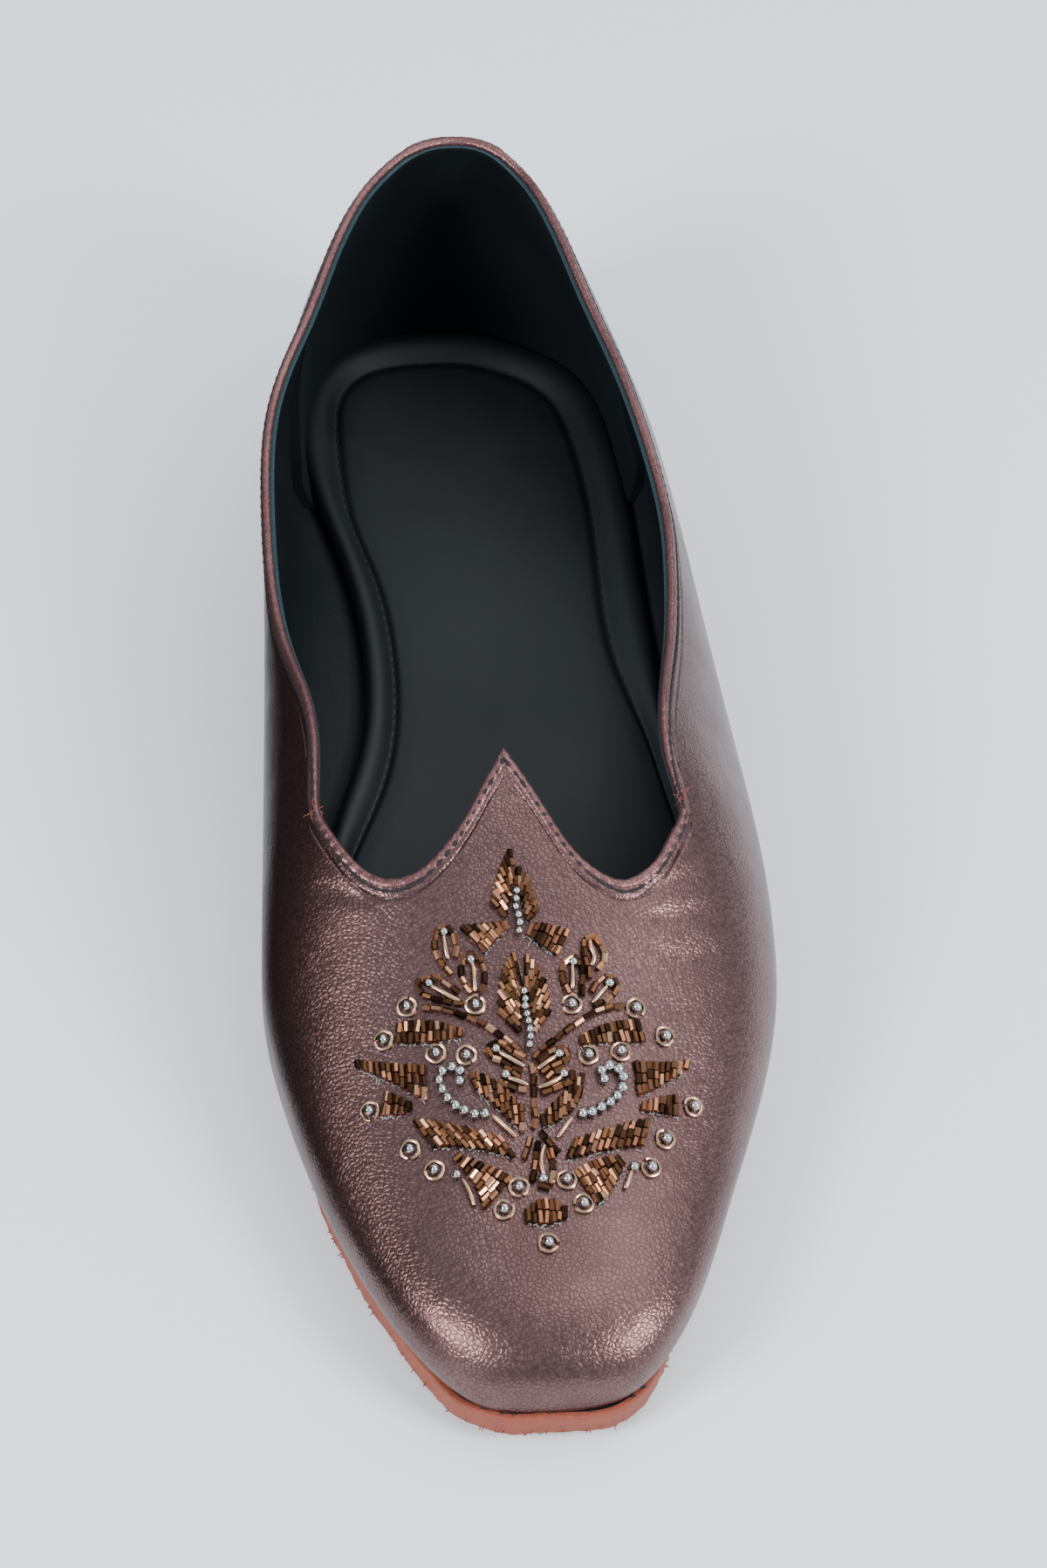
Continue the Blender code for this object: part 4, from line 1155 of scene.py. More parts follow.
@dataclass
class Bottom:
    """The stained leather sole and the padded insole on it.

    The wear of the edge is given as waves, each with its size and pitch in millimetres and its
    turn. The section of the sock is given by places from its groove, 0, to its border, 1, with its
    height there in millimetres; places under 0 are in its flat middle.
    """

    finishes: Finishes
    stations: int = 230
    wear: tuple[tuple[float, float, float], ...] = (
        (0.05, 2.3, 0.4), (0.06, 3.7, 2.0), (0.05, 7.9, 1.1), (0.08, 19.0, 5.0),
    )
    section: tuple[tuple[float, float], ...] = (
        (-0.26, 3.05), (-0.13, 2.80), (0.0, 2.35), (0.16, 2.90),
        (0.42, 3.95), (0.72, 4.15), (0.92, 3.4), (1.0, 2.7),
    )
    toe_room: float = 4.5 * MM
    wall: float = 2.2 * MM
    toe_spread: float = 1.3 * MM
    upper_round: float = 0.6 * MM
    lower_round: float = 0.7 * MM
    fibre_count: int = 420
    fibre_radius: float = 0.15 * MM
    fibre_root: float = 0.25 * MM
    speck_count: int = 8
    speck_size: tuple[float, float, float] = (0.60 * MM, 0.30 * MM, 0.24 * MM)
    pad_rise: float = 3.05 * MM
    slope_rise: float = 1.3 * MM
    rim_rise: float = 0.5 * MM
    groove_rise: float = 2.3 * MM
    stitch_pitch: float = 2.4 * MM
    stitch_half: tuple[float, float] = (0.20 * MM, 0.14 * MM)
    stitch_lift: float = 0.06 * MM

    def build(self) -> None:
        """Builds the outsole and the insole."""
        self.outsole()
        self.insole()

    def outsole(self) -> None:
        """The sheet and its heel block, with worn, slightly uneven edges."""
        edge = outline(SOLE, (1, 2), self.stations)
        share = -edge[:, 1:] / LENGTH
        inner_toe = eased((share - 0.78) / 0.07) * eased((0.985 - share) / 0.05) * (edge[:, :1] < 0)
        edge = moved_in(edge, -self.toe_spread * inner_toe)
        run = lengths(ring_closed(edge))[:-1]
        waves = (size * np.sin(run / (pitch * MM) * FULL_TURN + turn) for size, pitch, turn in self.wear)
        ragged = sum(waves)[:, None] * MM
        turns = np.linspace(0, np.pi / 2, 5)
        rings = [on_level(moved_in(edge, 2 * self.upper_round), sole_top)]
        for turn in turns:
            inset = self.upper_round * (1 - math.sin(turn))
            drop = self.upper_round * (1 - math.cos(turn))
            line = moved_in(edge, inset + 0.3 * ragged)
            rings.append(on_level(line, lambda v, d=drop: sole_top(v) - d))
        for share in (0.35, 0.7):
            rings.append(on_level(moved_in(edge, ragged * share), lambda v, s=share: self.side(v, s)))
        for turn in turns[::-1]:
            inset = self.lower_round * (1 - math.sin(turn))
            lift = self.lower_round * (1 - math.cos(turn))
            line = moved_in(edge, inset + ragged)
            rings.append(on_level(line, lambda v, d=lift: tread(v) + d))
        rings.append(on_level(moved_in(edge, 4 * MM), tread))
        self.burrs(edge)
        finishes = [self.finishes.sole, self.finishes.lining]
        made = ringed("sole_leather_sheet", np.array(rings), (sole_top, tread), finishes, dark=True)
        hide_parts("outsole")

    def side(self, along: np.ndarray, share: float) -> np.ndarray:
        """Height on the sole's side, at a share of the way from its upper rounding to its lower."""
        upper = sole_top(along) - self.upper_round
        return upper * (1 - share) + (tread(along) + self.lower_round) * share

    def burrs(self, edge: np.ndarray) -> None:
        """Fibres left standing along the sole's lower edge by the knife, and dark specks of cement
        where the upper meets the sole at the toe.

        Args:
            edge: The sole's plan outline.
        """
        rng = np.random.default_rng(5)
        loop = ring_closed(edge)
        ahead = np.gradient(loop, axis=0)
        share = np.linspace(0, 1, 4)[:, None]
        upright = np.tile((0.05, 0.02, 1.0), (4, 1))
        radii = self.fibre_radius * np.linspace(1, 0.5, 4)
        parts = []
        for place in rng.uniform(0, len(loop) - 1.001, self.fibre_count):
            spot = read_at(loop, np.array([place]))[0]
            way = read_at(ahead, np.array([place]))[0]
            out = np.array((way[1], -way[0])) / np.hypot(*way)
            if -spot[1] < 0.45 * LENGTH and rng.random() < 0.6:
                continue
            height = tread(np.array(-spot[1])) + rng.uniform(0.35, 1.3) * MM
            foot = np.array((*(spot - out * self.fibre_root), height))
            tip = np.array((*out, rng.normal(0, 0.35))) + np.array((*(rng.normal(0, 0.5, 2)), 0))
            line = foot + PLACE + tip * rng.uniform(0.36, 0.62) * MM * share
            parts.append(wire(line, upright, radii, 5))
        make_piece("sole_fibres", *joined(parts), [self.finishes.sole])
        count = self.speck_count
        chosen = edge[rng.choice(np.flatnonzero(-edge[:, 1] > 0.975 * LENGTH), count)]
        centres = np.column_stack([chosen + (0, 1.1 * MM), sole_top(-chosen[:, 1]) + 0.12 * MM]) + PLACE
        sizes = rng.uniform(0.5, 1.0, (count, 3)) * self.speck_size
        ways = np.tile((1.0, 0.1, 0.0), (count, 1)) + rng.normal(0, 0.15, (count, 3))
        ups = np.tile((0.0, 0.0, 1.0), (count, 1))
        specks = repeated(ball_template(5, 8), centres, ways, ups, sizes)
        make_piece("cement_specks", *specks, [self.finishes.stitch])

    def insole(self) -> None:
        """The sock: a flat middle, a stitched groove and a puffed border that slopes to the wall."""
        knots, heights = np.array(self.section).T
        shares = np.linspace(knots[0], knots[-1], 40)
        rises = cubic(knots, heights[:, None] * MM, shares)[:, 0]

        def height(rise: float) -> Callable[[np.ndarray], np.ndarray]:
            """The pad's height over the floor; it thins towards the toe, under the low vamp."""

            def at(along: np.ndarray) -> np.ndarray:
                """The height at a distance from the heel."""
                thinned = 1 - 0.6 * eased((along / LENGTH - 0.72) / 0.2)
                return sole_top(along) + CLEARANCE + (rise - CLEARANCE) * thinned

            return at

        groove = outline(GROOVE, (1, 2), self.stations)
        border = outline(BORDER, (1, 2), self.stations)
        lines = [groove + (border - groove) * share for share in shares]
        rings = [on_level(line, height(rise)) for line, rise in zip(lines, rises)]
        edge = feather_outline(self.stations)
        foot = moved_in(edge, self.wall + 2 * CLEARANCE + counter_foot(-edge[:, 1])[:, None], self.toe_room)
        rings.append(on_level(border * 0.45 + foot * 0.55, height(self.slope_rise)))
        rings.append(on_level(foot, height(self.rim_rise)))
        rings.append(on_level(foot, height(CLEARANCE)))
        rings.append(on_level(groove, height(CLEARANCE)))
        fillings = (height(self.pad_rise), height(CLEARANCE))
        made = ringed("insole_sock", np.array(rings), fillings, [self.finishes.insole])
        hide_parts("insole")
        self.groove_stitches(on_level(groove, height(self.groove_rise)) + PLACE)

    def groove_stitches(self, loop: np.ndarray) -> None:
        """Stitches in the sock's groove, each a short flattened bead of thread."""
        loop = ring_closed(loop)
        count = int(lengths(loop)[-1] / self.stitch_pitch)
        middles = read_at(loop, spaced(loop, (np.arange(count) + 0.5) / count))
        along = read_at(loop, spaced(loop, (np.arange(count) + 0.85) / count)) - middles
        across = np.tile(self.stitch_half, (count, 1))
        sizes = np.column_stack([np.linalg.norm(along, axis=1), across])
        ups = np.tile((0.0, 0.0, 1.0), (count, 1))
        stitches = repeated(ball_template(6, 8), middles + ups * self.stitch_lift, along, ups, sizes)
        make_piece("insole_stitches", *stitches, [self.finishes.lining])


@dataclass
class HeelTab:
    """The strip of foil leather down the back of the heel."""

    finishes: Finishes
    width: float = 19 * MM
    thickness: float = 0.8 * MM
    rim: float = 0.12 * MM

    def build(self) -> None:
        """Builds the strip as a shell with rounded borders, just outside the wall."""
        height = np.linspace(0.30, 0.90, 30) * COLLAR_RISE
        reach = np.linspace(-1, 1, 33) * self.width / 2
        run = LAST.run_at(np.array([0.0, 0.05 * LENGTH]))
        fine = np.linspace(0, run[-1], 300)
        row = LAST.at(fine)
        grid = np.empty((len(reach), len(height), 3))
        for j, z in enumerate(height):
            share = np.clip((z - sole_top(row[:, 0]) - row[:, 5]) / (row[:, 6] - row[:, 5]), 0, 1)
            arch = np.arcsin(share ** (row[:, 8] / 2)) / (np.pi / 2)
            for side in (-1, 1):
                line = last_point(fine, side * (1 - BELOW_WIDEST) * (1 - arch))
                here = reach * side >= 0
                places = np.interp(np.abs(reach[here]), lengths(line), np.arange(len(line)))
                grid[here, j] = read_at(line, places)
        grid = grid[:, ::-1]
        normals = grid_normals(grid, closed=False)
        u = np.abs(np.linspace(-1, 1, len(reach)))[:, None]
        v = np.abs(np.linspace(-1, 1, len(height)))[None, :]
        crown = (1 - u**14) ** 0.5 * (1 - v**24) ** 0.5
        lift = (self.rim + (self.thickness - self.rim) * crown)[..., None]
        outer = grid + normals * (CLEARANCE + lift)
        made = shell("heel_strip", outer, grid + normals * CLEARANCE, [self.finishes.foil], closed=False)
        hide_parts("heel_tab")


@dataclass(frozen=True)
class Viewpoint:
    """The camera that the photograph was taken with, in the model's frame."""

    place: tuple[float, float, float] = (-55.47 * MM, -410.05 * MM, 490 * MM)
    heading: float = math.radians(1.682)
    pitch: float = math.radians(50)
    focal: float = 3400.0
    width: int = 1200
    height: int = 1797
    aim: tuple[float, float] = (855.0, 857.0)
    closer: float = 1.2

    def axes(self) -> np.ndarray:
        """Its right, up and forward directions as rows."""
        level = np.array((math.sin(self.heading), math.cos(self.heading), 0))
        forward = level * math.cos(self.pitch) - np.array((0, 0, math.sin(self.pitch)))
        right = np.array((level[1], -level[0], 0))
        return np.stack([right, np.cross(right, forward), forward])

    def rays(self, pixels: np.ndarray) -> np.ndarray:
        """Directions through pixels of the photograph's frame."""
        right, up, forward = self.axes()
        x = (pixels[..., :1] - self.width / 2) / self.focal
        y = (pixels[..., 1:] - self.height / 2) / self.focal
        return forward + right * x - up * y

    def build(self) -> None:
        """Makes the camera, turned so that the one shoe fills the frame."""
        forward = unit(self.rays(np.array(self.aim)))
        up = self.axes()[1]
        up = unit(up - forward * (up @ forward))
        right = np.cross(forward, up)
        data = bpy.data.cameras.new("camera")
        data.sensor_fit = "VERTICAL"
        data.sensor_height = 36.0
        data.sensor_width = 24.0
        data.lens = self.focal * self.closer / self.height * 36.0
        data.clip_start = 0.01
        made = bpy.data.objects.new("camera", data)
        turn = Matrix(np.stack([right, up, -forward], axis=1).tolist()).to_4x4()
        made.matrix_world = Matrix.Translation(Vector(self.place)) @ turn
        bpy.context.scene.collection.objects.link(made)
        bpy.context.scene.camera = made


class Sheet(Enum):
    """An enlarged sheet of the embroidery's chart: the corner it starts from in the photograph's
    frame, and how many of its own steps make one of the frame's."""

    WHOLE = (680.0, 905.0, 3.8716)
    TOP = (758.0, 915.0, 9.8)
    INNER = (690.0, 1060.0, 8.2526)
    OUTER = (855.0, 1060.0, 8.2526)
    LOW = (770.0, 1180.0, 7.127)
    PETALS = (860.0, 985.0, 15.68)
    MIDDLE = (810.0, 1095.0, 13.0667)

    def pixels(self, points: Sequence) -> np.ndarray:
        """Points of the sheet in the photograph's frame: corner + point / steps."""
        x, y, steps = self.value
        return np.array((x, y)) + np.asarray(points, float) / steps


class Vamp:
    """Heights of the vamp over its plan, and the way from the chart to it."""

    def __init__(self, eye: Viewpoint) -> None:
        """Works out a fine grid of heights: for each plan point, the section's own height there."""
        self.eye = eye
        self.x = np.linspace(-38, 38, 160) * MM
        self.along = np.linspace(0.60, 0.985, 220) * LENGTH
        run, x = np.meshgrid(LAST.run_at(self.along), self.x, indexing="ij")
        self.height = last_point(run, across_at(run, x + PLACE[0]))[..., 2]
        down, side = np.gradient(self.height, self.along[1] - self.along[0], self.x[1] - self.x[0])
        self.slope = np.stack([-side, down, np.ones_like(down)], axis=-1)

    def read(self, table: np.ndarray, points: np.ndarray) -> np.ndarray:
        """The table at plan points, by interpolation between four neighbours."""
        i = (PLACE[1] - points[..., 1] - self.along[0]) / (self.along[1] - self.along[0])
        j = (points[..., 0] - PLACE[0] - self.x[0]) / (self.x[1] - self.x[0])
        i = np.clip(i, 0, len(self.along) - 1.001)
        j = np.clip(j, 0, len(self.x) - 1.001)
        a, b = i.astype(int), j.astype(int)
        s, t = i - a, j - b
        if table.ndim == 3:
            s, t = s[..., None], t[..., None]
        near = table[a, b] * (1 - t) + table[a, b + 1] * t
        far = table[a + 1, b] * (1 - t) + table[a + 1, b + 1] * t
        return near * (1 - s) + far * s

    def cast(self, sheet: Sheet, chart: Sequence) -> np.ndarray:
        """Carries chart points along the camera's rays to the vamp.

        Args:
            sheet: The sheet that they are charted on.
            chart: Points of the sheet.

        Returns:
            Points on the vamp.
        """
        rays = self.eye.rays(sheet.pixels(chart))
        height = np.full(rays.shape[:-1], 0.035)
        start = np.array(self.eye.place)
        for _ in range(30):
            reach = (height - start[2]) / rays[..., 2]
            points = start + rays * reach[..., None]
            height = height + 0.6 * (self.read(self.height, points) - height)
        return self.laid(points)

    def laid(self, points: np.ndarray) -> np.ndarray:
        """The same plan points, at the vamp's own height."""
        return np.concatenate([points[..., :2], self.read(self.height, points)[..., None]], axis=-1)

    def up(self, points: np.ndarray) -> np.ndarray:
        """The vamp's unit normals at plan points."""
        return unit(self.read(self.slope, points))


# Rows of tube beads: node, sheet, number of strands, then the first, middle and last points
# where the strands start, and the same for where they end
PATCHES = (
    ("leaf_top", Sheet.TOP, 7,
        ((805, 75), (703, 290), (632, 570)), ((850, 320), (825, 500), (790, 715))),
    ("leaf_top", Sheet.TOP, 7,
        ((880, 190), (1012, 370), (1085, 640)), ((890, 360), (945, 560), (975, 745))),
    ("wing_inner", Sheet.TOP, 8,
        ((345, 770), (545, 750), (790, 720)), ((595, 1030), (690, 905), (810, 800))),
    ("wing_outer", Sheet.TOP, 7,
        ((1015, 745), (1195, 755), (1390, 810)), ((975, 850), (1100, 950), (1270, 1055))),
    ("leaf_centre", Sheet.WHOLE, 9,
        ((645, 435), (597, 520), (582, 670)), ((664, 560), (662, 650), (668, 748))),
    ("leaf_centre", Sheet.WHOLE, 9,
        ((680, 440), (752, 535), (773, 668)), ((690, 570), (706, 650), (714, 745))),
    ("side_1_inner", Sheet.INNER, 10,
        ((360, 220), (600, 190), (885, 262)), ((360, 375), (600, 375), (885, 325))),
    ("side_1_outer", Sheet.OUTER, 11,
        ((440, 325), (650, 225), (915, 190)), ((455, 390), (690, 380), (975, 380))),
    ("side_2_inner", Sheet.INNER, 11,
        ((35, 498), (300, 525), (590, 545)), ((50, 568), (310, 680), (615, 850))),
    ("side_2_outer", Sheet.OUTER, 9,
        ((865, 515), (1090, 530), (1310, 520)), ((905, 800), (1085, 720), (1300, 580))),
    ("side_3_inner", Sheet.INNER, 5,
        ((270, 750), (365, 780), (480, 845)), ((238, 948), (345, 942), (490, 910))),
    ("side_3_outer", Sheet.OUTER, 6,
        ((930, 858), (1075, 810), (1225, 785)), ((925, 915), (1060, 940), (1235, 970))),
    ("lower_1_inner", Sheet.INNER, 12,
        ((485, 975), (790, 1015), (1190, 1120)), ((640, 1200), (960, 1205), (1315, 1295))),
    ("lower_1_outer", Sheet.OUTER, 12,
        ((395, 1145), (680, 1050), (1010, 970)), ((330, 1300), (620, 1235), (955, 1195))),
    ("lower_2_inner", Sheet.LOW, 9,
        ((110, 258), (262, 430), (325, 610)), ((155, 215), (370, 300), (530, 385))),
    ("lower_2_outer", Sheet.LOW, 9,
        ((955, 345), (1080, 275), (1250, 240)), ((1105, 565), (1205, 490), (1300, 290))),
    ("bud_2_inner", Sheet.MIDDLE, 9,
        ((-95, 500), (200, 590), (605, 950)), ((-20, 700), (270, 960), (610, 1290))),
    ("bud_2_outer", Sheet.OUTER, 9,
        ((478, 600), (330, 760), (120, 960)), ((440, 800), (320, 960), (150, 1045))),
    ("fan", Sheet.LOW, 7,
        ((612, 625), (752, 530), (905, 605)), ((608, 685), (765, 708), (905, 662))),
)
# Single lines of tube beads: node or piece, sheet, the points that the line follows
CHAINS = (
    ("leaf_top", Sheet.TOP, ((815, 50), (825, 130), (835, 215))),
    ("petal_1_inner", Sheet.TOP, (
        (275, 1235), (190, 1130), (125, 1010), (115, 880), (140, 790), (205, 765), (270, 810),
        (310, 890), (325, 970), (310, 1070),
    )),
    ("petal_2_inner", Sheet.TOP, (
        (470, 1395), (395, 1310), (360, 1230), (365, 1130), (385, 1055), (445, 1020), (520, 1060),
        (570, 1140), (595, 1215), (570, 1320), (545, 1395),
    )),
    ("petal_3_inner", Sheet.WHOLE, (
        (455, 630), (385, 622), (325, 605), (288, 580), (280, 552), (305, 535), (350, 532),
        (400, 562), (440, 590),
    )),
    ("petal_1_outer", Sheet.PETALS, (
        (915, 940), (900, 830), (880, 720), (840, 600), (820, 460), (840, 320), (930, 265),
        (1010, 300), (1045, 390), (1130, 510), (1135, 640), (1090, 740), (1010, 800),
    )),
    ("petal_2_outer", Sheet.PETALS, (
        (610, 1160), (545, 1040), (500, 930), (495, 800), (525, 680), (600, 590), (730, 640),
        (790, 720), (815, 850), (800, 990), (790, 1100), (800, 1200),
    )),
    ("petal_3_outer", Sheet.PETALS, (
        (930, 1140), (1000, 1010), (1080, 900), (1180, 900), (1300, 950), (1335, 1050), (1300, 1140),
        (1230, 1200), (1150, 1250), (1060, 1310), (960, 1350),
    )),
    ("bud_1_inner", Sheet.MIDDLE, (
        (600, 330), (520, 290), (440, 250), (385, 175), (300, 130), (190, 130), (120, 210),
        (165, 305), (265, 350), (360, 395), (460, 445), (570, 500),
    )),
    ("bud_1_inner", Sheet.MIDDLE, ((340, 440), (440, 490), (550, 575))),
    ("bud_1_outer", Sheet.MIDDLE, (
        (760, 370), (840, 300), (930, 235), (1110, 215), (1155, 290), (1130, 370), (1040, 385),
        (950, 425), (870, 480), (800, 520),
    )),
    ("bud_1_outer", Sheet.MIDDLE, ((860, 590), (930, 530), (1010, 480), (1110, 445))),
    ("bud_2_inner", Sheet.MIDDLE, ((255, 615), (340, 655), (440, 690), (530, 715), (630, 735))),
    ("bud_2_outer", Sheet.MIDDLE, (
        (1200, 480), (1205, 620), (1100, 660), (1000, 690), (910, 740), (805, 775),
    )),
    ("spear", Sheet.LOW, ((655, 110), (630, 190), (605, 265))),
    ("spear", Sheet.LOW, ((708, 140), (690, 215), (685, 290), (672, 360), (665, 420))),
    ("spear", Sheet.LOW, ((715, 70), (760, 120), (800, 175), (850, 225))),
    ("spear", Sheet.LOW, ((785, 190), (800, 260), (808, 320), (805, 380), (795, 440))),
    ("spear", Sheet.LOW, ((700, 440), (740, 455), (790, 460))),
    ("stem", Sheet.MIDDLE, (
        (690, 395), (710, 520), (710, 620), (715, 720), (715, 850), (710, 940), (725, 1010),
        (730, 1120), (705, 1215),
    )),
    ("branch_inner", Sheet.WHOLE, (
        (300, 645), (365, 650), (430, 665), (490, 688), (550, 720), (605, 760), (650, 795), (686, 830),
    )),
    ("branch_outer", Sheet.WHOLE, (
        (1045, 640), (985, 648), (930, 668), (880, 700), (830, 735), (785, 770), (745, 798), (712, 836),
    )),
)
# Lines of silvered seed beads, threaded so that they touch: sheet, bead width in mm, points
SEED_LINES = (
    (Sheet.TOP, 1.42, ((880, 415), (883, 492), (872, 560), (877, 625), (900, 692), (905, 768), (905, 860))),
    (Sheet.WHOLE, 1.42, (
        (675, 572), (680, 608), (680, 636), (685, 662), (690, 686), (696, 712), (700, 740),
        (698, 767), (697, 800),
    )),
    (Sheet.WHOLE, 1.90, (
        (444, 936), (441, 915), (446, 888), (425, 864), (396, 868), (370, 885), (363, 912),
        (372, 940), (385, 965), (402, 987), (423, 1008), (451, 1026), (482, 1038), (515, 1045),
        (550, 1030),
    )),
    (Sheet.WHOLE, 1.90, (
        (968, 935), (973, 914), (962, 890), (975, 866), (1006, 864), (1036, 886), (1045, 918),
        (1038, 952), (1018, 980), (996, 1000), (970, 1015), (938, 1030), (905, 1042), (872, 1038),
    )),
)
# Single silvered beads at the ends of bars
SEEDS = (
    (Sheet.TOP, ((205, 830), (450, 1085))),
    (Sheet.WHOLE, ((325, 555),)),
    (Sheet.PETALS, ((655, 680), (1195, 1000))),
    (Sheet.MIDDLE, ((240, 205), (360, 540), (1030, 275), (1090, 525))),
    (Sheet.LOW, ((740, 400), (150, 368), (1355, 322))),
)
# Bars of bullion wire: sheet, the points that each follows
BARS = (
    (Sheet.TOP, ((200, 860), (215, 960), (240, 1078))),
    (Sheet.TOP, ((470, 1115), (485, 1230), (495, 1382))),
    (Sheet.TOP, ((85, 1330), (215, 1408), (358, 1480))),
    (Sheet.PETALS, ((910, 350), (930, 480), (965, 560), (945, 730))),
    (Sheet.PETALS, ((648, 745), (652, 900), (650, 1080))),
    (Sheet.PETALS, ((1170, 1050), (1070, 1150), (955, 1290))),
    (Sheet.MIDDLE, ((285, 255), (430, 345), (590, 430))),
    (Sheet.MIDDLE, ((390, 572), (520, 620), (640, 665))),
    (Sheet.MIDDLE, ((985, 312), (880, 380), (765, 462))),
    (Sheet.MIDDLE, ((1065, 562), (920, 650), (780, 695))),
    (Sheet.MIDDLE, ((205, 1045), (345, 1180), (490, 1310))),
    (Sheet.MIDDLE, ((1195, 1080), (1100, 1200), (1010, 1325))),
    (Sheet.LOW, ((748, 170), (725, 262), (745, 372))),
    (Sheet.LOW, ((190, 400), (235, 480), (270, 575))),
    (Sheet.LOW, ((1340, 355), (1320, 410), (1295, 468))),
)
# Middles of the ring dots
RINGS = (
    (245, 640), (498, 633), (855, 632), (1093, 648), (160, 763), (1202, 753), (352, 812), (465, 820),
    (917, 820), (1037, 808), (110, 1025), (1307, 1015), (258, 1168), (1203, 1135), (348, 1245),
    (1150, 1240), (660, 1310), (838, 1282), (605, 1393), (900, 1372), (770, 1517),
)


def unit_circle(sides: int) -> np.ndarray:
    """Corners of a regular polygon of unit radius."""
    turn = np.arange(sides) / sides * FULL_TURN
    return np.stack([np.cos(turn), np.sin(turn)], axis=-1)


def tube_template(sides: int = 6) -> Shape:
    """A cut tube of unit half length and half width, with a hole sunk in each end.

    Args:
        sides: Its number of facets.

    Returns:
        Vertices as (along, aside, up), and its faces.
    """
    ring = unit_circle(sides)
    half = ((0.93, 1.0), (1.0, 0.84), (1.0, 0.46), (0.72, 0.40))
    profile = [(-along, size) for along, size in half[::-1]] + list(half)
    rings = [np.column_stack([np.full(sides, along), ring * size]) for along, size in profile]
    points = np.concatenate(rings)
    numbers = np.arange(len(points)).reshape(len(profile), sides)
    wrapped = np.concatenate([numbers, numbers[:, :1]], axis=1)
    return points, [quads(wrapped), numbers[:1], numbers[-1:, ::-1]]


def ball_template(rings: int, sides: int) -> Shape:
    """A ball of unit radius, its poles along the first axis."""
    lat = np.linspace(-1, 1, rings + 1)[1:-1] * np.pi / 2
    ring = unit_circle(sides)
    points = [np.column_stack([np.full(sides, math.sin(a)), ring * math.cos(a)]) for a in lat]
    points = np.concatenate([*points, [[-1, 0, 0]], [[1, 0, 0]]])
    numbers = np.arange(len(lat) * sides).reshape(len(lat), sides)
    wrapped = np.concatenate([numbers, numbers[:, :1]], axis=1)
    low, high = len(points) - 2, len(points) - 1
    first = np.stack([np.full(sides, low), wrapped[0, 1:], wrapped[0, :-1]], axis=-1)
    last = np.stack([np.full(sides, high), wrapped[-1, :-1], wrapped[-1, 1:]], axis=-1)
    return points, [quads(wrapped), first[:, ::-1], last[:, ::-1]]


def repeated(
    template: Shape, centres: np.ndarray, along: np.ndarray, up: np.ndarray, sizes: np.ndarray
) -> Shape:
    """Copies of a template, each at centre + x * along + y * aside + z * up, times its sizes.

    Args:
        template: Vertices and faces.
        centres: Where each copy goes.
        along: Its long direction.
        up: Its upward direction.
        sizes: Its half sizes along, aside and up.

    Returns:
        All of the vertices and faces.
    """
    points, faces = template
    along = unit(along)
    aside = unit(np.cross(up, along))
    up = np.cross(along, aside)
    frame = np.stack([along, aside, up], axis=1)
    placed = centres[:, None] + np.einsum("vk,nk,nkx->nvx", points, sizes, frame)
    shift = (np.arange(len(centres)) * len(points))[:, None, None]
    return placed.reshape(-1, 3), [(block[None] + shift).reshape(-1, block.shape[1]) for block in faces]


def bent(three: Sequence, shares: np.ndarray) -> np.ndarray:
    """The parabola through three points at shares 0, 1/2 and 1."""
    a, b, c = np.array(three, float)
    s = shares[:, None]
    return a * (1 - s) * (1 - 2 * s) + b * 4 * s * (1 - s) + c * s * (2 * s - 1)


def smooth_line(points: np.ndarray, count: int = 60) -> np.ndarray:
    """A natural cubic curve through points, read at even steps of its chord length."""
    run = lengths(points)
    if len(points) < 3:
        return read_at(points, spaced(points, np.linspace(0, 1, count)))
    return cubic(run, points, np.linspace(0, run[-1], count))


def wire(points: np.ndarray, ups: np.ndarray, radius: np.ndarray | float, sides: int) -> Shape:
    """A round wire along a line: point + radius * (cos a * aside + sin a * up).

    Args:
        points: The line that it follows.
        ups: Directions that stand off the line.
        radius: Its radius, or one for each point.
        sides: How many sides it is drawn with.

    Returns:
        Vertices and faces, its ends closed.
    """
    along = unit(np.gradient(points, axis=0))
    aside = unit(np.cross(ups, along))
    ups = np.cross(along, aside)
    x, y = unit_circle(sides).T[:, None, :, None]
    radius = np.broadcast_to(radius, len(points))[:, None, None]
    made = points[:, None] + radius * (aside[:, None] * x + ups[:, None] * y)
    numbers = np.arange(made.shape[0] * sides).reshape(made.shape[0], sides)
    wrapped = np.concatenate([numbers, numbers[:, :1]], axis=1)
    return made.reshape(-1, 3), [quads(wrapped), numbers[:1, ::-1], numbers[-1:]]


def joined(parts: Sequence[Shape]) -> Shape:
    """Several sets of vertices and faces as one."""
    points, faces, total = [], [], 0
    for some, blocks in parts:
        points.append(some)
        faces += [block + total for block in blocks]
        total += len(some)
    return np.concatenate(points), faces


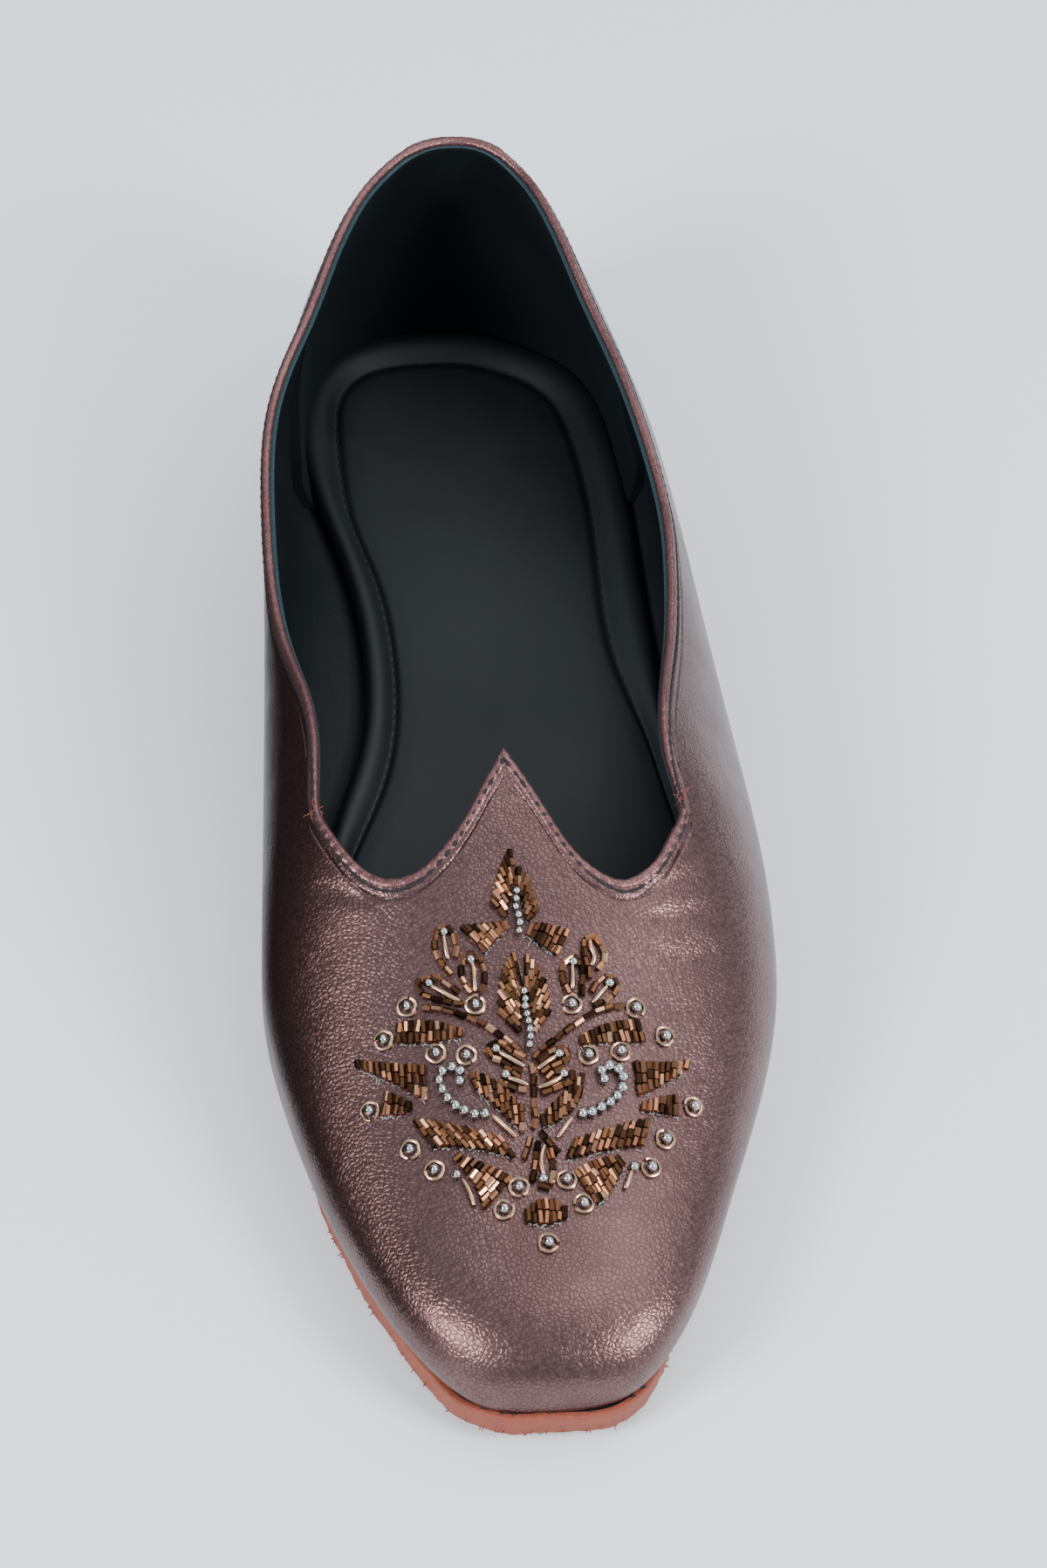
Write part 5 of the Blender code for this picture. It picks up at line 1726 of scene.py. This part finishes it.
@dataclass
class Embroidery:
    """Beads sewn on the vamp in leaves, petals and rings."""

    vamp: Vamp
    finishes: Finishes
    nodes: frozenset[str]
    tube_width: float = 1.12 * MM
    tube_pitch: float = 1.80 * MM
    seed_width: float = 1.70 * MM
    bar_width: float = 0.86 * MM
    ring_width: float = 3.6 * MM
    ring_wire: float = 0.64 * MM
    ring_bead: float = 1.85 * MM
    over_leaf: float = 0.55 * MM
    seed_pitch: float = 0.92 * MM
    bar_arch: float = 0.25 * MM
    thread_shift: float = 0.15 * MM
    thread_lift: tuple[float, float] = (0.10 * MM, 0.22 * MM)
    thread_radius: float = 0.10 * MM
    stray_radius: float = 0.06 * MM
    rng: np.random.Generator = field(default_factory=lambda: np.random.default_rng(7))

    def build(self) -> None:
        """Builds the tube beads of each leaf, then seeds, bars, rings and threads."""
        for node in dict.fromkeys([row[0] for row in PATCHES] + [row[0] for row in CHAINS]):
            self.tubes(node)
        self.seeds()
        self.bars()
        self.rings()
        self.threads()

    def strands(self, row: Sequence) -> list[np.ndarray]:
        """The lines of one patch's strands, each laid on the vamp."""
        _, sheet, count, starts, ends = row
        share = (np.arange(count) + 0.5) / count
        first = self.vamp.cast(sheet, bent(starts, share))
        last = self.vamp.cast(sheet, bent(ends, share))
        inner = np.linspace(0, 1, 12)[:, None]
        return [self.vamp.laid(a * (1 - inner) + b * inner) for a, b in zip(first, last)]

    def beads_on(self, line: np.ndarray) -> tuple[np.ndarray, np.ndarray, np.ndarray]:
        """Tube beads that fill a line: their middles, directions and half lengths."""
        whole = lengths(line)[-1]
        count = max(1, int(round(whole / self.tube_pitch)))
        cut = self.rng.uniform(0.78, 1.22, count)
        edges = np.concatenate([[0], np.cumsum(cut)]) / cut.sum()
        ends = read_at(line, spaced(line, edges))
        chord = ends[1:] - ends[:-1]
        return (ends[1:] + ends[:-1]) / 2, chord, np.linalg.norm(chord, axis=1) * 0.455

    def tubes(self, node: str) -> None:
        """The tube beads of one leaf, petal, stem or branch.

        Args:
            node: The CAD node that they stand for, or the piece's own name.
        """
        lines = [line for row in PATCHES if row[0] == node for line in self.strands(row)]
        for name, sheet, points in CHAINS:
            if name == node:
                lines.append(self.vamp.laid(smooth_line(self.vamp.cast(sheet, points))))
        found = [self.beads_on(line) for line in lines]
        middles, along, halves = (np.concatenate(part) for part in zip(*found))
        count = len(middles)
        ups = self.vamp.up(middles)
        width = self.tube_width * self.rng.uniform(0.93, 1.05, count)
        middles = middles + ups * (width * 0.47 + self.rng.uniform(-0.02, 0.10, count) * MM)[:, None]
        along = unit(along) + self.rng.normal(0, 0.06, along.shape)
        roll = self.rng.uniform(0, np.pi / 3, count)[:, None]
        ups = ups * np.cos(roll) + unit(np.cross(ups, along)) * np.sin(roll)
        sizes = np.stack([halves, width / 2, width / 2], axis=1)
        points, faces = repeated(tube_template(), middles, along, ups, sizes)
        tint = np.repeat(self.rng.beta(1.1, 1.4, count), len(points) // count)
        made = make_piece(f"{node}_beads", points, faces, [self.finishes.bead], tint=tint)
        if node in self.nodes:
            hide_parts(node)

    def seeds(self) -> None:
        """Silvered seed beads, those of a line threaded along it."""
        middles, along, widths = [], [], []
        for sheet, width, points in SEED_LINES:
            line = self.vamp.laid(smooth_line(self.vamp.cast(sheet, points)))
            count = int(round(lengths(line)[-1] / (width * self.seed_pitch)))
            middles.append(read_at(line, spaced(line, (np.arange(count) + 0.5) / count)))
            along.append(np.gradient(middles[-1], axis=0))
            widths.append(np.full(count, width))
        lifted = sum(len(line) for line in middles[:2])
        for sheet, points in SEEDS:
            middles.append(self.vamp.cast(sheet, points))
            along.append(np.tile((0.3, 1.0, 0.1), (len(points), 1)))
            widths.append(np.full(len(points), self.seed_width / MM))
        middles, along, widths = np.concatenate(middles), np.concatenate(along), np.concatenate(widths)
        ups = self.vamp.up(middles)
        half = widths / 2 * MM * self.rng.uniform(0.95, 1.05, len(middles))
        over_leaf = np.where(np.arange(len(middles)) < lifted, self.over_leaf, 0.0)
        middles = middles + ups * (half * 0.95 + over_leaf)[:, None]
        middles = middles + self.rng.normal(0, 0.05, middles.shape) * MM
        sizes = np.stack([half * 0.88, half, half], axis=1)
        beads = repeated(ball_template(8, 12), middles, along, ups, sizes)
        make_piece("silver_seed_beads", *beads, [self.finishes.silver])

    def bars(self) -> None:
        """Short bars of pale gold bullion wire, a little flattened."""
        parts = []
        for sheet, points in BARS:
            line = self.vamp.laid(smooth_line(self.vamp.cast(sheet, points), 16))
            ups = self.vamp.up(line)
            taper = np.ones(len(line))
            taper[[0, -1]] = 0.8
            arch = self.bar_arch * np.sin(np.linspace(0, np.pi, len(line)))
            lift = self.bar_width * 0.62 + arch
            parts.append(wire(line + ups * lift[:, None], ups, self.bar_width / 2 * taper, 10))
        make_piece("gold_bars", *joined(parts), [self.finishes.gold])

    def rings(self) -> None:
        """Ring dots: a silver bead in an open ring of bullion wire, bent a little out of round."""
        middles = self.vamp.cast(Sheet.WHOLE, RINGS)
        ups = self.vamp.up(middles)
        parts = []
        for middle, up in zip(middles, ups):
            aside = unit(np.cross(up, (0.0, 1.0, 0.0)))
            ahead = np.cross(aside, up)
            start = self.rng.uniform(0, FULL_TURN)
            gap = self.rng.uniform(0.10, 0.35)
            turn = start + np.linspace(gap, FULL_TURN - gap, 46)
            corner = 1 + 0.030 * np.sin(turn * 3 + start * 7) + 0.022 * np.sin(turn * 5 + start * 3)
            reach = (self.ring_width - self.ring_wire) / 2 * corner[:, None]
            line = middle + reach * (aside * np.cos(turn)[:, None] + ahead * np.sin(turn)[:, None])
            line = self.vamp.laid(line) + up * self.ring_wire * 0.5
            parts.append(wire(line, np.tile(up, (len(line), 1)), self.ring_wire / 2, 8))
        make_piece("gold_rings", *joined(parts), [self.finishes.gold])
        half = np.full((len(middles), 3), self.ring_bead / 2)
        half[:, 0] *= 0.9
        along = np.tile((1.0, 0.35, 0.0), (len(middles), 1))
        along = along + self.rng.normal(0, 0.4, along.shape) * (1, 1, 0)
        beads = repeated(ball_template(10, 14), middles + ups * half[:, 1:2] * 0.95, along, ups, half)
        make_piece("ring_dot_beads", *beads, [self.finishes.silver])

    def threads(self) -> None:
        """Grey thread showing where strands are sewn down: a wavering line at each patch's far
        ends, with a few short loose ends."""
        parts = []
        for row in PATCHES:
            _, sheet, count, _, ends = row
            line = self.vamp.cast(sheet, bent(ends, np.linspace(0.02, 0.98, count * 6)))
            waver = self.rng.normal(0, 0.16, (len(line), 2)) * MM
            line[:, :2] += waver + (0, -self.thread_shift)
            line = self.vamp.laid(line)
            ups = self.vamp.up(line)
            least, more = self.thread_lift
            lift = least + more * self.rng.uniform(0, 1, (len(line), 1)) ** 2
            for k in range(0, len(line) - 3, 4):
                if self.rng.random() < 0.6:
                    piece = slice(k, k + 4)
                    raised = line[piece] + ups[piece] * lift[piece]
                    parts.append(wire(raised, ups[piece], self.thread_radius, 5))
            for _ in range(3):
                start = line[self.rng.integers(len(line))]
                way = self.rng.normal(0, 1, 2)
                way[1] = -abs(way[1])
                reach = self.rng.uniform(0.5, 1.4) * MM
                stray = np.tile(start, (6, 1))
                share = np.linspace(0, 1, 6)[:, None]
                stray[:, :2] += way / np.linalg.norm(way) * reach * share
                stray[:, :2] += self.rng.normal(0, 0.08, (6, 2)) * MM
                stray = self.vamp.laid(stray)
                arch = share[:, 0] * (1 - share[:, 0])
                stray[:, 2] += 0.12 * MM + self.rng.uniform(0.1, 0.5) * MM * arch
                parts.append(wire(stray, self.vamp.up(stray), self.stray_radius, 4))
        make_piece("sewing_threads", *joined(parts), [self.finishes.cotton])


@dataclass(frozen=True)
class Lamp:
    """A square soft light that faces the shoe: its place and width in metres, its power in watts."""

    name: str
    place: tuple[float, float, float]
    size: float
    power: float
    colour: tuple[float, float, float] = (0.97, 0.98, 1.0)
    target: tuple[float, float, float] = (0.0, -0.02, 0.02)

    def build(self) -> None:
        """Makes the light and turns it to its target."""
        data = bpy.data.lights.new(self.name, "AREA")
        data.shape = "SQUARE"
        data.size = self.size
        data.energy = self.power
        data.color = self.colour
        lamp = bpy.data.objects.new(self.name, data)
        lamp.location = self.place
        way = Vector(self.target) - Vector(self.place)
        lamp.rotation_euler = way.to_track_quat("-Z", "Y").to_euler()
        bpy.context.scene.collection.objects.link(lamp)


@dataclass(frozen=True)
class Stage:
    """A plain pale floor, soft lights, a dim surround and a dark card off the inner side, which
    only reflections see."""

    reach: float = 3.0
    card_foot: float = -0.058
    card_top: float = -0.084
    card_height: float = 0.092
    card_ends: tuple[float, float] = (-0.13, 0.22)
    surround: str = "#d8e5f2"
    strength: float = 0.95
    lamps: tuple[Lamp, ...] = (
        Lamp("high", (0.42, 0.30, 1.15), 0.9, 6.2),
        Lamp("front right", (0.86, -0.56, 0.76), 0.40, 12.5),
        Lamp("front left", (-0.90, -0.58, 0.78), 0.40, 15.5),
    )

    def build(self) -> None:
        """Builds the floor, the card, the surround and the lamps."""
        side = self.reach
        corners = [(-side, -side, 0), (side, -side, 0), (side, side, 0), (-side, side, 0)]
        floor = self.sheet("floor", corners, Finish("pale paper", "#f3f7fa", roughness=0.9))
        near, far = self.card_ends
        foot, top, height = self.card_foot, self.card_top, self.card_height
        corners = [(foot, near, 0), (foot, far, 0), (top, far, height), (top, near, height)]
        card = self.sheet("card", corners, Finish("dark card", "#0a0606", roughness=0.8))
        card.visible_camera = False
        card.visible_shadow = False
        card.visible_diffuse = False
        world = bpy.data.worlds.new("surround")
        world.use_nodes = True
        sky = world.node_tree.nodes["Background"]
        sky.inputs["Color"].default_value = linear(self.surround)
        sky.inputs["Strength"].default_value = self.strength
        bpy.context.scene.world = world
        for lamp in self.lamps:
            lamp.build()

    def sheet(
        self, name: str, corners: Sequence[tuple[float, float, float]], finish: Finish
    ) -> bpy.types.Object:
        """One flat sheet with four corners."""
        mesh = bpy.data.meshes.new(name)
        mesh.from_pydata(corners, [], [(0, 1, 2, 3)])
        mesh.materials.append(finish.build())
        made = bpy.data.objects.new(name, mesh)
        bpy.context.scene.collection.objects.link(made)
        return made


def main() -> None:
    """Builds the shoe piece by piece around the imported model."""
    logging.basicConfig(level=logging.INFO, format="%(message)s")
    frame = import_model()
    log.info("the frame has %d nodes", len(frame["nodes"]))
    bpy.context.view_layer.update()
    eye = Viewpoint()
    eye.build()
    finishes = Finishes()
    skin = Skin()
    Upper(skin, finishes).build()
    Bottom(finishes).build()
    HeelTab(finishes).build()
    Embroidery(Vamp(eye), finishes, frozenset(frame["nodes"])).build()
    Stage().build()


if __name__ == "__main__":
    main()
